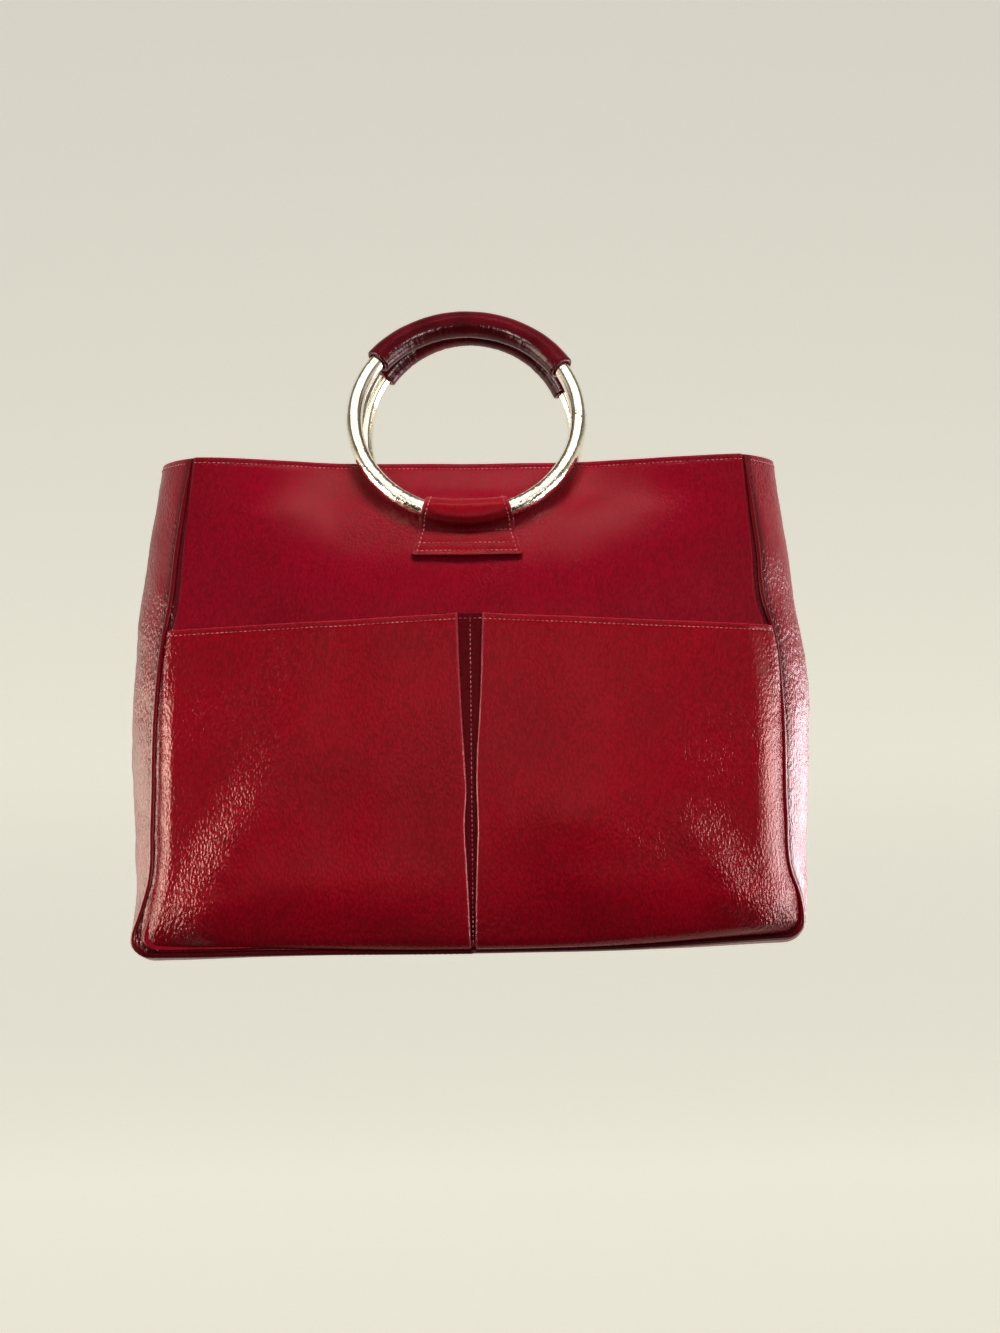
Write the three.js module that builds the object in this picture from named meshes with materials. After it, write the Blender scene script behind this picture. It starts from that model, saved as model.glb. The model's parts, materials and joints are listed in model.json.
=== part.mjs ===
// Leather tote bag with two metal ring handles, hanging as a flat-fronted wedge.
// Millimetres, +X right, +Y to the back, +Z up. The origin is the point the bag hangs by:
// both grips rest on the plane z = 0, one on each side of the plane y = 0.
import * as THREE from 'three';
import { mergeVertices } from 'three/addons/utils/BufferGeometryUtils.js';

// Driving dimensions: handles
const ringOuterDiameter = 126.6;
const ringTubeDiameter = 8.6;
const gripDiameter = 13.8;
const gripClearance = 0.3;
const gripSpacing = 0.3;
const frontRingLean = 20.8;
const frontRingShift = -1.3;
const backRingShift = 0.4;
const frontGripArc = { from: -54, to: 60 };
const backGripArc = { from: -55, to: 65 };

// Driving dimensions: body
const hangDrop = 72.7;
const bodyHeight = 244.3;
const baseWidth = 320;
const baseDepth = 84;
const backReach = 14;
const gussetBulge = 22;
const cornerRadius = 9;
const baseSag = 2.4;
const baseDrop = 3;
const leather = 1.5;
const pieceGap = 0.35;

// Driving dimensions: pocket, seam and tabs
const pocketDrop = 88.7;
const pocketRise = 7.5;
const pocketLeather = 1.4;
const pocketStandoff = 3;
const pocketSlack = 8.5;
const pocketEdgeRoll = 4.5;
const panelEdgeRoll = 3;
const sheetCells = 12;
const baseCells = 10;
const pleatDepth = 16;
const slitWidth = 11.6;
const weltDiameter = 2.1;
const seamInset = 2.8;
const tabTopWidth = 39;
const tabBottomWidth = 56;
const tabLength = 27;
const tabClearance = 0.55;
const tabDip = 1.3;

// Half widths of the seam line are shares of half the base width, and the bulge of the gusset
// is a share of gussetBulge. inset is how far the panel's edge lies inside the seam line, as a
// share of its full inset.
const outlineTable = [
  { down: 0.00, left: 0.885, right: 0.885, inset: 0.22, bulge: 1.00 },
  { down: 0.10, left: 0.909, right: 0.905, inset: 0.60, bulge: 0.98 },
  { down: 0.20, left: 0.925, right: 0.920, inset: 0.85, bulge: 1.02 },
  { down: 0.31, left: 0.938, right: 0.931, inset: 1.00, bulge: 1.07 },
  { down: 0.37, left: 0.953, right: 0.957, inset: 1.00, bulge: 1.00 },
  { down: 0.52, left: 0.972, right: 0.980, inset: 1.00, bulge: 0.98 },
  { down: 0.74, left: 0.975, right: 0.985, inset: 1.00, bulge: 0.87 },
  { down: 0.86, left: 0.979, right: 0.996, inset: 1.00, bulge: 0.74 },
  { down: 0.91, left: 0.999, right: 1.022, inset: 1.00, bulge: 0.52 },
  { down: 0.96, left: 1.020, right: 1.032, inset: 1.00, bulge: 0.34 },
  { down: 1.00, left: 1.012, right: 1.024, inset: 1.00, bulge: 0.22 },
];

// Depth of the panels, as shares of baseDepth measured forwards from the plane of the back.
const depthTable = [
  { down: 0.00, left: 0.702, right: 0.702, centre: 0.452, backSide: 0.02, backCentre: 0.150 },
  { down: 0.07, left: 0.735, right: 0.735, centre: 0.560, backSide: 0.01, backCentre: 0.158 },
  { down: 0.126, left: 0.762, right: 0.760, centre: 0.669, backSide: 0.01, backCentre: 0.168 },
  { down: 0.20, left: 0.802, right: 0.798, centre: 0.770, backSide: 0.01, backCentre: 0.150 },
  { down: 0.34, left: 0.872, right: 0.848, centre: 0.886, backSide: 0.01, backCentre: 0.070 },
  { down: 0.50, left: 0.935, right: 0.876, centre: 0.940, backSide: 0.02, backCentre: 0.020 },
  { down: 0.72, left: 1.000, right: 0.900, centre: 0.985, backSide: 0.02, backCentre: 0.010 },
  { down: 1.00, left: 1.112, right: 0.922, centre: 1.022, backSide: 0.02, backCentre: 0.020 },
];

// Width of the slit of the pocket's pleat, as a share of slitWidth.
const slitTable = [
  { down: 0.00, open: 1.00 },
  { down: 0.16, open: 0.87 },
  { down: 0.30, open: 0.68 },
  { down: 0.44, open: 0.44 },
  { down: 0.52, open: 0.38 },
  { down: 0.62, open: 0.49 },
  { down: 0.74, open: 0.34 },
  { down: 0.88, open: 0.20 },
  { down: 1.00, open: 0.12 },
];

// Sizes worked out from the driving dimensions
const tubeRadius = ringTubeDiameter / 2;
const gripRadius = gripDiameter / 2;
const ringRadius = ringOuterDiameter / 2 - tubeRadius;
const halfBase = baseWidth / 2;
const topZ = -hangDrop;
const pocketTop = pocketDrop / bodyHeight;
const panelInset = seamInset + pocketLeather + pieceGap;
const weltRadius = weltDiameter / 2;
const weltInset = seamInset - pieceGap - weltRadius;
const weltBack = weltRadius + 0.15;
const foldPitch = pocketLeather + pieceGap;
const cornerShare = cornerRadius / bodyHeight;
const lean = THREE.MathUtils.degToRad(frontRingLean);

const cherry = { color: 0x9c1531, roughness: 0.42, metalness: 0 };
const burgundy = { color: 0x5a0d22, roughness: 0.38, metalness: 0 };
const silver = { color: 0xd9d4c6, roughness: 0.18, metalness: 1 };

const { lerp, clamp, smoothstep, degToRad } = THREE.MathUtils;

// A column of a table at a share of the way down, with straight runs between its rows.
function column(table, down, name) {
  const last = table.length - 1;
  let row = 0;
  while (row < last - 1 && down > table[row + 1].down) row += 1;
  const share = clamp((down - table[row].down) / (table[row + 1].down - table[row].down), 0, 1);
  return lerp(table[row][name], table[row + 1][name], share);
}

// Place of a panel along Y: its column of the depth table, forwards from the plane of the back.
function depthAt(down, name) {
  return backReach - column(depthTable, down, name) * baseDepth;
}

// Shares down at which the sheets have a row, with a quarter round at the base corners.
function rowShares(from) {
  const shares = [];
  const straight = 1 - cornerShare;
  for (const { down } of outlineTable) {
    if (down >= from && down < straight - 0.01) shares.push(down);
  }
  for (const { down } of depthTable) {
    if (down >= from && down < straight - 0.01) shares.push(down);
  }
  shares.push(from);
  for (const turn of [0, 30, 60, 90]) shares.push(straight + cornerShare * Math.sin(degToRad(turn)));
  shares.sort((a, b) => a - b);
  return shares.filter((share, k) => k === 0 || share - shares[k - 1] > 0.012 || share > straight);
}

// A point of the seam line on one side, with the direction that points out of the bag.
function sidePoint(down, side) {
  const name = side < 0 ? 'left' : 'right';
  const into = clamp((down - (1 - cornerShare)) / cornerShare, 0, 1);
  const cut = cornerRadius * (1 - Math.sqrt(1 - into * into));
  const x = side * (column(outlineTable, down, name) * halfBase - cut);
  const turn = Math.asin(into);
  const out = new THREE.Vector3(side * Math.cos(turn), 0, -Math.sin(turn));
  return { x, z: topZ - down * bodyHeight, out, down, side };
}

// Depth of the front panel's face at a share across, -1 at the left and 1 at the right.
function faceY(across, down) {
  const edge = lerp(depthAt(down, 'left'), depthAt(down, 'right'), (across + 1) / 2);
  const bow = smoothstep((1 - Math.abs(across)) / 0.67, 0, 1);
  return lerp(edge, depthAt(down, 'centre'), bow);
}

// Depth of the back panel's outer face.
function backY(across, down) {
  const bow = smoothstep((1 - Math.abs(across)) / 0.67, 0, 1);
  return lerp(depthAt(down, 'backSide'), depthAt(down, 'backCentre'), bow);
}

// A quarter round at the edge of a sheet: how far the face turns back at a distance from its edge.
function edgeRoll(fromEdge, radius) {
  const into = clamp(1 - fromEdge / radius, 0, 1);
  return radius * (1 - Math.sqrt(1 - into * into));
}

// How much the base seam hangs below its corners.
function sagAt(across, down) {
  const low = smoothstep(down, 0.55, 1);
  return baseSag * (1 - across * across) * low;
}

// A closed body from rows of points. Each row is a loop, and the ends are closed as strips
// between the first and the second half of the loop, or joined to each other.
function skin(rows, joinEnds = false) {
  const count = rows[0].length;
  const positions = rows.flat().flatMap((p) => [p.x, p.y, p.z]);
  const index = [];
  const quad = (a, b, c, d) => index.push(a, b, c, a, c, d);
  const spans = joinEnds ? rows.length : rows.length - 1;
  for (let r = 0; r < spans; r += 1) {
    const here = r * count;
    const next = ((r + 1) % rows.length) * count;
    for (let k = 0; k < count; k += 1) {
      const k2 = (k + 1) % count;
      quad(here + k, here + k2, next + k2, next + k);
    }
  }
  if (!joinEnds) {
    const end = (rows.length - 1) * count;
    for (let k = 0; k < count / 2 - 1; k += 1) {
      quad(count - 1 - k, count - 2 - k, k + 1, k);
      quad(end + k, end + k + 1, end + count - 2 - k, end + count - 1 - k);
    }
  }
  const geometry = new THREE.BufferGeometry();
  geometry.setAttribute('position', new THREE.Float32BufferAttribute(positions, 3));
  geometry.setIndex(index);
  return facingOut(geometry);
}

// Turns the faces of a closed body outwards.
function facingOut(geometry) {
  const p = geometry.getAttribute('position');
  const index = geometry.getIndex().array;
  const [a, b, c] = [new THREE.Vector3(), new THREE.Vector3(), new THREE.Vector3()];
  let volume = 0;
  for (let k = 0; k < index.length; k += 3) {
    a.fromBufferAttribute(p, index[k]);
    b.fromBufferAttribute(p, index[k + 1]);
    c.fromBufferAttribute(p, index[k + 2]);
    volume += a.dot(b.cross(c));
  }
  if (volume < 0) geometry.setIndex(Array.from(index).reverse());
  return geometry;
}

// A sheet of leather: its outer face is a grid of points, and its wall lies behind that face.
function sheet(grid, thickness, outward) {
  const rows = grid.map((row, r) => {
    const inner = row.map((point, k) => {
      const along = grid[Math.min(r + 1, grid.length - 1)][k].clone();
      along.sub(grid[Math.max(r - 1, 0)][k]);
      const across = row[Math.min(k + 1, row.length - 1)].clone();
      across.sub(row[Math.max(k - 1, 0)]);
      const normal = across.cross(along).normalize();
      if (normal.dot(outward(point, r, k)) < 0) normal.negate();
      return point.clone().addScaledVector(normal, -thickness);
    });
    return [...row, ...inner.reverse()];
  });
  return skin(rows);
}

// Shares across a sheet, closer together where its edges turn back.
function acrossShares(roll) {
  const edge = roll / halfBase;
  const shares = [];
  for (let k = 0; k <= sheetCells; k += 1) shares.push(lerp(-1 + edge, 1 - edge, k / sheetCells));
  const turns = [1, 0.5, 0.13];
  const left = turns.map((share, k) => -1 + edge * (k === 0 ? 0 : 1 - share));
  return [...left, ...shares, ...left.map((share) => -share).reverse()];
}

// A row of points from the left edge to the right edge of a front sheet, at a share down.
function frontRow(down, inset, roll, standoff, zAt) {
  const left = sidePoint(down, -1);
  const right = sidePoint(down, 1);
  left.x -= left.out.x * inset;
  right.x -= right.out.x * inset;
  const raise = -left.out.z * inset;
  const y = (across) => faceY(across, down) - standoff(across);
  return acrossShares(roll).map((across) => {
    const x = lerp(left.x, right.x, (across + 1) / 2);
    const fromEdge = (1 - Math.abs(across)) * halfBase;
    const z = zAt(across) + Math.max(raise, 0);
    return new THREE.Vector3(x, y(across) + edgeRoll(fromEdge, roll), z);
  });
}

function levelZ(down) {
  return (across) => topZ - down * bodyHeight - sagAt(across, down);
}

function frontPanel() {
  const none = () => 0;
  const rows = rowShares(0).map((down) => {
    const inset = panelInset * column(outlineTable, down, 'inset');
    return frontRow(down, inset, panelEdgeRoll, none, levelZ(down));
  });
  return sheet(rows, leather, () => new THREE.Vector3(0, -1, 0));
}

function backPanel() {
  const rows = rowShares(0).map((down) => {
    const inset = panelInset * column(outlineTable, down, 'inset');
    const shape = frontRow(down, inset, panelEdgeRoll, () => 0, levelZ(down));
    const shares = acrossShares(panelEdgeRoll);
    return shape.map((point, k) => {
      const roll = edgeRoll((1 - Math.abs(shares[k])) * halfBase, panelEdgeRoll);
      return point.setY(backY(shares[k], down) - roll);
    });
  });
  return sheet(rows, leather, () => new THREE.Vector3(0, 1, 0));
}

// Stations of the seam that runs down the left side, along the base and up the right side.
function seamStations(from) {
  const left = rowShares(from).map((down) => sidePoint(down, -1));
  const right = rowShares(from).map((down) => sidePoint(down, 1));
  const start = left[left.length - 1];
  const end = right[right.length - 1];
  const base = [];
  for (let k = 1; k < baseCells; k += 1) {
    const share = k / baseCells;
    const x = lerp(start.x, end.x, share);
    base.push({ x, z: start.z, out: new THREE.Vector3(0, 0, -1), down: 1, side: 2 * share - 1 });
  }
  const all = [...left, ...base, ...right.reverse()];
  for (const station of all) station.z -= sagAt(station.side, station.down);
  return all;
}

// A place beside the seam line: outwards by out, and back from the face by back.
function beside(station, y, out, back) {
  const point = new THREE.Vector3(station.x, y + back, station.z);
  return point.addScaledVector(station.out, out);
}

// The gusset is one strip: left side, base and right side. Its sides bulge and its base is flat.
function gusset() {
  const shares = [0, 0.07, 0.2, 0.4, 0.6, 0.8, 0.93, 1];
  const flat = [0, 0.6, 1, 1, 1, 1, 0.6, 0];
  const seat = weltBack + weltRadius;
  const lowest = topZ - bodyHeight - baseSag - baseDrop;
  const stations = seamStations(0);
  const rows = stations.map((station) => {
    const onBase = -station.out.z;
    const bulge = gussetBulge * column(outlineTable, station.down, 'bulge');
    const front = beside(station, faceY(station.side, station.down), 0, seat);
    const back = beside(station, backY(station.side, station.down), 0, -seat);
    return shares.map((share, k) => {
      const round = Math.sin(Math.PI * share) ** 0.85;
      const point = front.clone().lerp(back, share);
      point.x += station.out.x * bulge * round;
      point.z = lerp(point.z, lowest, flat[k] * onBase);
      return point;
    });
  });
  return sheet(rows, leather, (point, r) => stations[r].out);
}

// A thin strip of leather sewn into the seam, shown as a round cord in the valley.
function welt(faceOf, towardsBack) {
  const sides = 6;
  const rows = seamStations(0.1).map((station) => {
    const centre = beside(station, faceOf(station.side, station.down), -weltInset, towardsBack);
    const row = [];
    for (let k = 0; k < sides; k += 1) {
      const turn = (2 * Math.PI * k) / sides;
      const point = centre.clone().addScaledVector(station.out, weltRadius * Math.cos(turn));
      point.y += weltRadius * Math.sin(turn);
      row.push(point);
    }
    return row;
  });
  return skin(rows);
}

// How far the pocket's face stands in front of the panel, at a share across and down the pocket.
function pocketStand(across, downPocket) {
  const centre = 2 * foldPitch + pocketLeather + 2 * pieceGap;
  const fromPleat = clamp((Math.abs(across) - 0.12) / 0.88, 0, 1);
  const slack = pocketSlack * Math.sin(Math.PI * fromPleat) * (1 - 0.6 * downPocket);
  return lerp(centre, pocketStandoff, fromPleat) + slack;
}

// The line across the middle of the pocket's leather: left half, pleat with its two folds on
// each side and its underlay, right half. Each point has its place behind the pocket's face.
function pocketLine(open) {
  const half = pocketLeather / 2;
  const turnRadius = foldPitch / 2;
  const edge = open / 2 + turnRadius + half;
  const line = [];
  const fold = (x, layer, from, step) => {
    for (let k = 0; k <= 3; k += 1) {
      const turn = degToRad(from + step * 60 * k);
      const behind = half + (layer + 0.5) * foldPitch;
      line.push({ x: x + turnRadius * Math.cos(turn), behind: behind - turnRadius * Math.sin(turn) });
    }
  };
  fold(-edge, 0, 90, -1);
  fold(-pleatDepth, 1, 90, 1);
  fold(pleatDepth, 1, -90, 1);
  fold(edge, 0, -90, -1);
  return line;
}

// The pocket is one piece of leather across the whole front, pleated at its middle.
function frontPocket() {
  const rows = rowShares(pocketTop).map((down) => {
    const downPocket = (down - pocketTop) / (1 - pocketTop);
    const rise = pocketRise * (1 - downPocket);
    const half = pocketLeather / 2;
    const bottomRoll = edgeRoll((1 - down) * bodyHeight, cornerRadius) / cornerRadius;
    const zAt = (across) => levelZ(down)(across) + rise * (1 - Math.abs(across));
    const stand = (across) => pocketStand(across, downPocket) - half;
    const face = frontRow(down, seamInset + half, pocketEdgeRoll - half, stand, zAt);
    const reach = pleatDepth + foldPitch + pocketLeather;
    const open = slitWidth * column(slitTable, downPocket, 'open');
    const pleat = pocketLine(open).map(({ x, behind }) => {
      const y = faceY(0, down) - pocketStand(0, downPocket) + behind;
      return new THREE.Vector3(x, y, face[Math.floor(face.length / 2)].z);
    });
    const left = face.filter((point) => point.x < -reach);
    const right = face.filter((point) => point.x > reach);
    const line = [...left, ...pleat, ...right];
    for (const point of line) point.y += bottomRoll;
    return thickened(line, half);
  });
  return skin(rows);
}

// A loop round a level line of leather, half its thickness to each side.
function thickened(line, half) {
  const offset = (sign) => line.map((point, k) => {
    const before = line[Math.max(k - 1, 0)];
    const after = line[Math.min(k + 1, line.length - 1)];
    const into = new THREE.Vector2(point.x - before.x, point.y - before.y).normalize();
    const onward = new THREE.Vector2(after.x - point.x, after.y - point.y).normalize();
    const along = into.clone().add(onward).normalize();
    const stretch = 1 / Math.max(0.7, Math.abs(along.dot(onward.lengthSq() ? onward : into)));
    const reach = sign * half * stretch;
    return new THREE.Vector3(point.x - along.y * reach, point.y + along.x * reach, point.z);
  });
  return [...offset(-1), ...offset(1).reverse()];
}

// The frame of a ring: its top rests over the hang point, and it may lean to the front.
function ringFrame(x, y, leanAngle) {
  const top = new THREE.Vector3(x, y, gripRadius);
  const down = new THREE.Vector3(0, -Math.sin(leanAngle), -Math.cos(leanAngle));
  const centre = top.clone().addScaledVector(down, ringRadius);
  const axis = new THREE.Vector3(0, Math.cos(leanAngle), -Math.sin(leanAngle));
  return { centre, down, axis };
}

const gripY = gripRadius + gripSpacing / 2;
const frontFrame = ringFrame(frontRingShift, -gripY, lean);
const backFrame = ringFrame(backRingShift, gripY, 0);

// A point on a tube that follows the ring, at an angle from its top.
function onTube(frame, angle, radius, turn) {
  const radial = new THREE.Vector3(Math.sin(angle), 0, 0);
  radial.addScaledVector(frame.down, -Math.cos(angle));
  const point = frame.centre.clone().addScaledVector(radial, ringRadius + radius * Math.cos(turn));
  return point.addScaledVector(frame.axis, radius * Math.sin(turn));
}

function ring(frame) {
  const steps = 48;
  const sides = 12;
  const rows = [];
  for (let r = 0; r < steps; r += 1) {
    const row = [];
    for (let k = 0; k < sides; k += 1) {
      row.push(onTube(frame, (2 * Math.PI * r) / steps, tubeRadius, (2 * Math.PI * k) / sides));
    }
    rows.push(row);
  }
  return skin(rows, true);
}

// A leather sleeve over the upper part of a ring.
function grip(frame, arc) {
  const steps = 16;
  const sides = 12;
  const inner = tubeRadius / Math.cos(Math.PI / sides) + gripClearance;
  const rows = [];
  for (let k = 0; k < sides; k += 1) {
    const turn = (2 * Math.PI * k) / sides;
    const angles = [];
    for (let r = 0; r <= steps; r += 1) angles.push(degToRad(lerp(arc.from, arc.to, r / steps)));
    const outside = angles.map((angle) => onTube(frame, angle, gripRadius, turn));
    const inside = angles.map((angle) => onTube(frame, angle, inner, turn)).reverse();
    rows.push([...outside, ...inside]);
  }
  return skin(rows, true);
}

// A leather tab that loops round the bottom of a ring and is sewn flat to a panel. Its section
// is drawn across the tab, as depth in front of the panel side and height, and then widened.
function handleTab(frame, panelAt, towards) {
  const bottom = frame.centre.clone().addScaledVector(frame.down, ringRadius);
  const inner = tubeRadius / Math.cos(Math.PI / 12) + tabClearance;
  const outer = inner + leather;
  const arcPoint = (radius, angle) => new THREE.Vector2(
    bottom.y + towards * radius * Math.sin(angle),
    bottom.z + radius * Math.cos(angle),
  );
  const lowZ = bottom.z + outer - tabLength;
  const leafTop = bottom.z - outer - leather;
  const back = (z) => panelAt(z) + towards * pieceGap;
  const leaf = (z) => back(z) + towards * 2 * leather;
  const outline = [];
  for (let turn = -90; turn <= 120; turn += 15) outline.push(arcPoint(outer, degToRad(turn)));
  const leafSteps = [leafTop, lerp(leafTop, lowZ, 0.5), lowZ];
  for (const z of leafSteps) outline.push(new THREE.Vector2(leaf(z), z));
  for (const z of leafSteps.reverse()) outline.push(new THREE.Vector2(back(z), z));
  const section = new THREE.Shape(outline);
  const tunnel = [];
  for (let turn = 360; turn > 0; turn -= 30) tunnel.push(arcPoint(inner, degToRad(turn)));
  section.holes.push(new THREE.Path(tunnel));
  const steps = 8;
  let solid = new THREE.ExtrudeGeometry(section, { depth: 2, steps, bevelEnabled: false });
  solid.deleteAttribute('normal');
  solid.deleteAttribute('uv');
  solid = mergeVertices(solid);
  const place = solid.getAttribute('position');
  const edgeLift = ringRadius - Math.sqrt(ringRadius ** 2 - (tabTopWidth / 2) ** 2);
  for (let k = 0; k < place.count; k += 1) {
    const y = place.getX(k);
    const z = place.getY(k);
    const share = place.getZ(k) - 1;
    const low = clamp((bottom.z + outer - z) / tabLength, 0, 1);
    const x = (share * lerp(tabTopWidth, tabBottomWidth, low)) / 2;
    const arcLift = ringRadius - Math.sqrt(ringRadius ** 2 - x * x);
    const topLift = edgeLift - tabDip * (1 - share * share);
    const onLoop = smoothstep(z, leafTop, bottom.z - inner);
    const lift = (z > bottom.z + 0.1 ? Math.max(topLift, arcLift) : arcLift) * onLoop;
    place.setXYZ(k, frame.centre.x + x, y - frame.down.y * lift, z - frame.down.z * lift);
  }
  return facingOut(solid);
}

function frontTab() {
  const panelAt = (z) => faceY(0, (topZ - z) / bodyHeight);
  return handleTab(frontFrame, panelAt, -1);
}

function backTab() {
  const panelAt = (z) => backY(0, (topZ - z) / bodyHeight);
  return handleTab(backFrame, panelAt, 1);
}

const group = new THREE.Group();

function add(name, geometry, finish) {
  const mesh = new THREE.Mesh(geometry, new THREE.MeshStandardMaterial(finish));
  mesh.name = name;
  group.add(mesh);
}

add('front_panel', frontPanel(), cherry);
add('back_panel', backPanel(), cherry);
add('gusset', gusset(), cherry);
add('front_welt', welt(faceY, weltBack), cherry);
add('back_welt', welt(backY, -weltBack), cherry);
add('front_pocket', frontPocket(), cherry);
add('front_handle_tab', frontTab(), cherry);
add('back_handle_tab', backTab(), cherry);
add('front_ring', ring(frontFrame), silver);
add('back_ring', ring(backFrame), silver);
add('front_grip', grip(frontFrame, frontGripArc), burgundy);
add('back_grip', grip(backFrame, backGripArc), burgundy);

export default group;
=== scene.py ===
# %% [markdown]
# # A leather tote bag on two ring handles
# The bag is sewn from flat pieces of leather: two panels, one long strip between them, a
# pleated pocket across the front and two tabs that hold the rings. A sewn bag is best made
# as its maker makes it, piece by piece, each one a thin wall with its own edge and stitches.
# The frame below holds the same pieces as plain solids at their real size, and each cell
# dresses or replaces one of them.

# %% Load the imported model
import json
import math
import bpy
import numpy as np
from mathutils import Matrix, Vector, noise

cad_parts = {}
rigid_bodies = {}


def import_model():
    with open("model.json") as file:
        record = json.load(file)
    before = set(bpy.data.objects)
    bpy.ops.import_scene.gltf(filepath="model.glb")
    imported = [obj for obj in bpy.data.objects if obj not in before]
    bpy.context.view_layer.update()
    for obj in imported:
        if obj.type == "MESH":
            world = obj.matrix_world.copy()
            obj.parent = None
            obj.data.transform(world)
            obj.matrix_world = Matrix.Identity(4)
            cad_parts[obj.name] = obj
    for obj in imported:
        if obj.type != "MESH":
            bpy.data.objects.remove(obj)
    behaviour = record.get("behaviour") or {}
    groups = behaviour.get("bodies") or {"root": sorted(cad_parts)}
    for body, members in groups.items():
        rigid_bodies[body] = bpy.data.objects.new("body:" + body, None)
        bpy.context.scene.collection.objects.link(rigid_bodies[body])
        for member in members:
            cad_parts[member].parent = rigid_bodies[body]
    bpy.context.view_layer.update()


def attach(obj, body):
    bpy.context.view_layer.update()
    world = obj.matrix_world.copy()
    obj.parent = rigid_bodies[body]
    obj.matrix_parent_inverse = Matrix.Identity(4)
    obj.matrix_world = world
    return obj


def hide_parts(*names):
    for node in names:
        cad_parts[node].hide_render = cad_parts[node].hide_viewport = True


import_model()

MM = 0.001

# %% [markdown]
# ## The camera
# A bag that hangs at eye height is seen from straight in front, so its mouth shows as one
# line. The camera could be placed by eye, but its place and turn were worked out from the
# rings, the seams and the base, so that each edge of the bag falls where it should.

# %% Camera
CAMERA_PLACE = (7.29, -555.42, -177.56)
CAMERA_YAW, CAMERA_PITCH, CAMERA_ROLL = (math.radians(a) for a in (-0.835, 0.294, -0.604))
FOCAL_PIXELS, IMAGE_HEIGHT, SENSOR = 1000, 1333, 36


def turn(axis, angle):
    """Rotation of a camera whose axes are right, down and forward."""
    c, s = math.cos(angle), math.sin(angle)
    rows = {
        "yaw": [[c, 0, s], [0, 1, 0], [-s, 0, c]],
        "pitch": [[1, 0, 0], [0, c, -s], [0, s, c]],
        "roll": [[c, -s, 0], [s, c, 0], [0, 0, 1]],
    }
    return Matrix(rows[axis])


looking_ahead = Matrix([[1, 0, 0], [0, 0, -1], [0, 1, 0]])
right, down_axis, forward = (
    turn("roll", CAMERA_ROLL) @ turn("pitch", CAMERA_PITCH) @ turn("yaw", CAMERA_YAW) @ looking_ahead
)
camera_data = bpy.data.cameras.new("camera")
camera_data.sensor_fit = "VERTICAL"
camera_data.sensor_height = SENSOR
camera_data.lens = FOCAL_PIXELS / IMAGE_HEIGHT * SENSOR
camera_data.clip_start = 0.01
camera = bpy.data.objects.new("camera", camera_data)
camera.matrix_world = Matrix.Translation(Vector(CAMERA_PLACE) * MM) @ Matrix(
    [right, -down_axis, -forward]
).transposed().to_4x4()
bpy.context.scene.collection.objects.link(camera)
bpy.context.scene.camera = camera
bpy.context.scene.view_settings.view_transform = "Standard"
print("lens", round(camera_data.lens, 2), "mm")

# %% [markdown]
# ## The sizes of the bag
# These are the sizes that the pieces were cut to, in millimetres. A hanging bag is never
# quite square: its mouth is drawn in by its own weight, its base stays wide, and the middle
# of each panel is pulled back where the tab hangs on its ring. Two short tables say how far,
# as shares of the base's width and depth, from the mouth down to the base.

# %% Driving sizes, in millimetres and degrees
RING_OUTER, RING_TUBE, GRIP, GRIP_SPACING = 126.6, 8.6, 13.8, 0.3
FRONT_LEAN, FRONT_SHIFT, BACK_SHIFT = math.radians(20.8), -1.3, 0.4
HANG_DROP, BODY_HEIGHT, BASE_WIDTH, BASE_DEPTH, BACK_REACH = 72.7, 244.3, 320.0, 84.0, 14.0
GUSSET_BULGE, CORNER_RADIUS, BASE_SAG, BASE_DROP = 22.0, 9.0, 2.4, 3.0
LEATHER, POCKET_LEATHER, PIECE_GAP, SEAM_INSET, WELT = 1.5, 1.4, 0.35, 2.8, 2.1
HALF_BASE = BASE_WIDTH / 2
TOP_Z = -HANG_DROP
CORNER_SHARE = CORNER_RADIUS / BODY_HEIGHT
PANEL_INSET = SEAM_INSET + POCKET_LEATHER + PIECE_GAP

OUTLINE = [
    ("down", "left", "right", "inset", "bulge"),
    (0.00, 0.885, 0.885, 0.22, 1.00),
    (0.10, 0.909, 0.905, 0.60, 0.98),
    (0.20, 0.925, 0.920, 0.85, 1.02),
    (0.31, 0.938, 0.931, 1.00, 1.07),
    (0.37, 0.953, 0.957, 1.00, 1.00),
    (0.52, 0.972, 0.980, 1.00, 0.98),
    (0.74, 0.975, 0.985, 1.00, 0.87),
    (0.86, 0.979, 0.996, 1.00, 0.74),
    (0.91, 0.999, 1.022, 1.00, 0.52),
    (0.96, 1.020, 1.032, 1.00, 0.34),
    (1.00, 1.012, 1.024, 1.00, 0.22),
]
DEPTH = [
    ("down", "left", "right", "centre", "back_side", "back_centre"),
    (0.00, 0.702, 0.702, 0.452, 0.02, 0.150),
    (0.07, 0.735, 0.735, 0.560, 0.01, 0.158),
    (0.126, 0.762, 0.760, 0.669, 0.01, 0.168),
    (0.20, 0.802, 0.798, 0.770, 0.01, 0.150),
    (0.34, 0.872, 0.848, 0.886, 0.01, 0.070),
    (0.50, 0.935, 0.876, 0.940, 0.02, 0.020),
    (0.72, 1.000, 0.900, 0.985, 0.02, 0.010),
    (1.00, 1.112, 0.922, 1.022, 0.02, 0.020),
]


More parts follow.
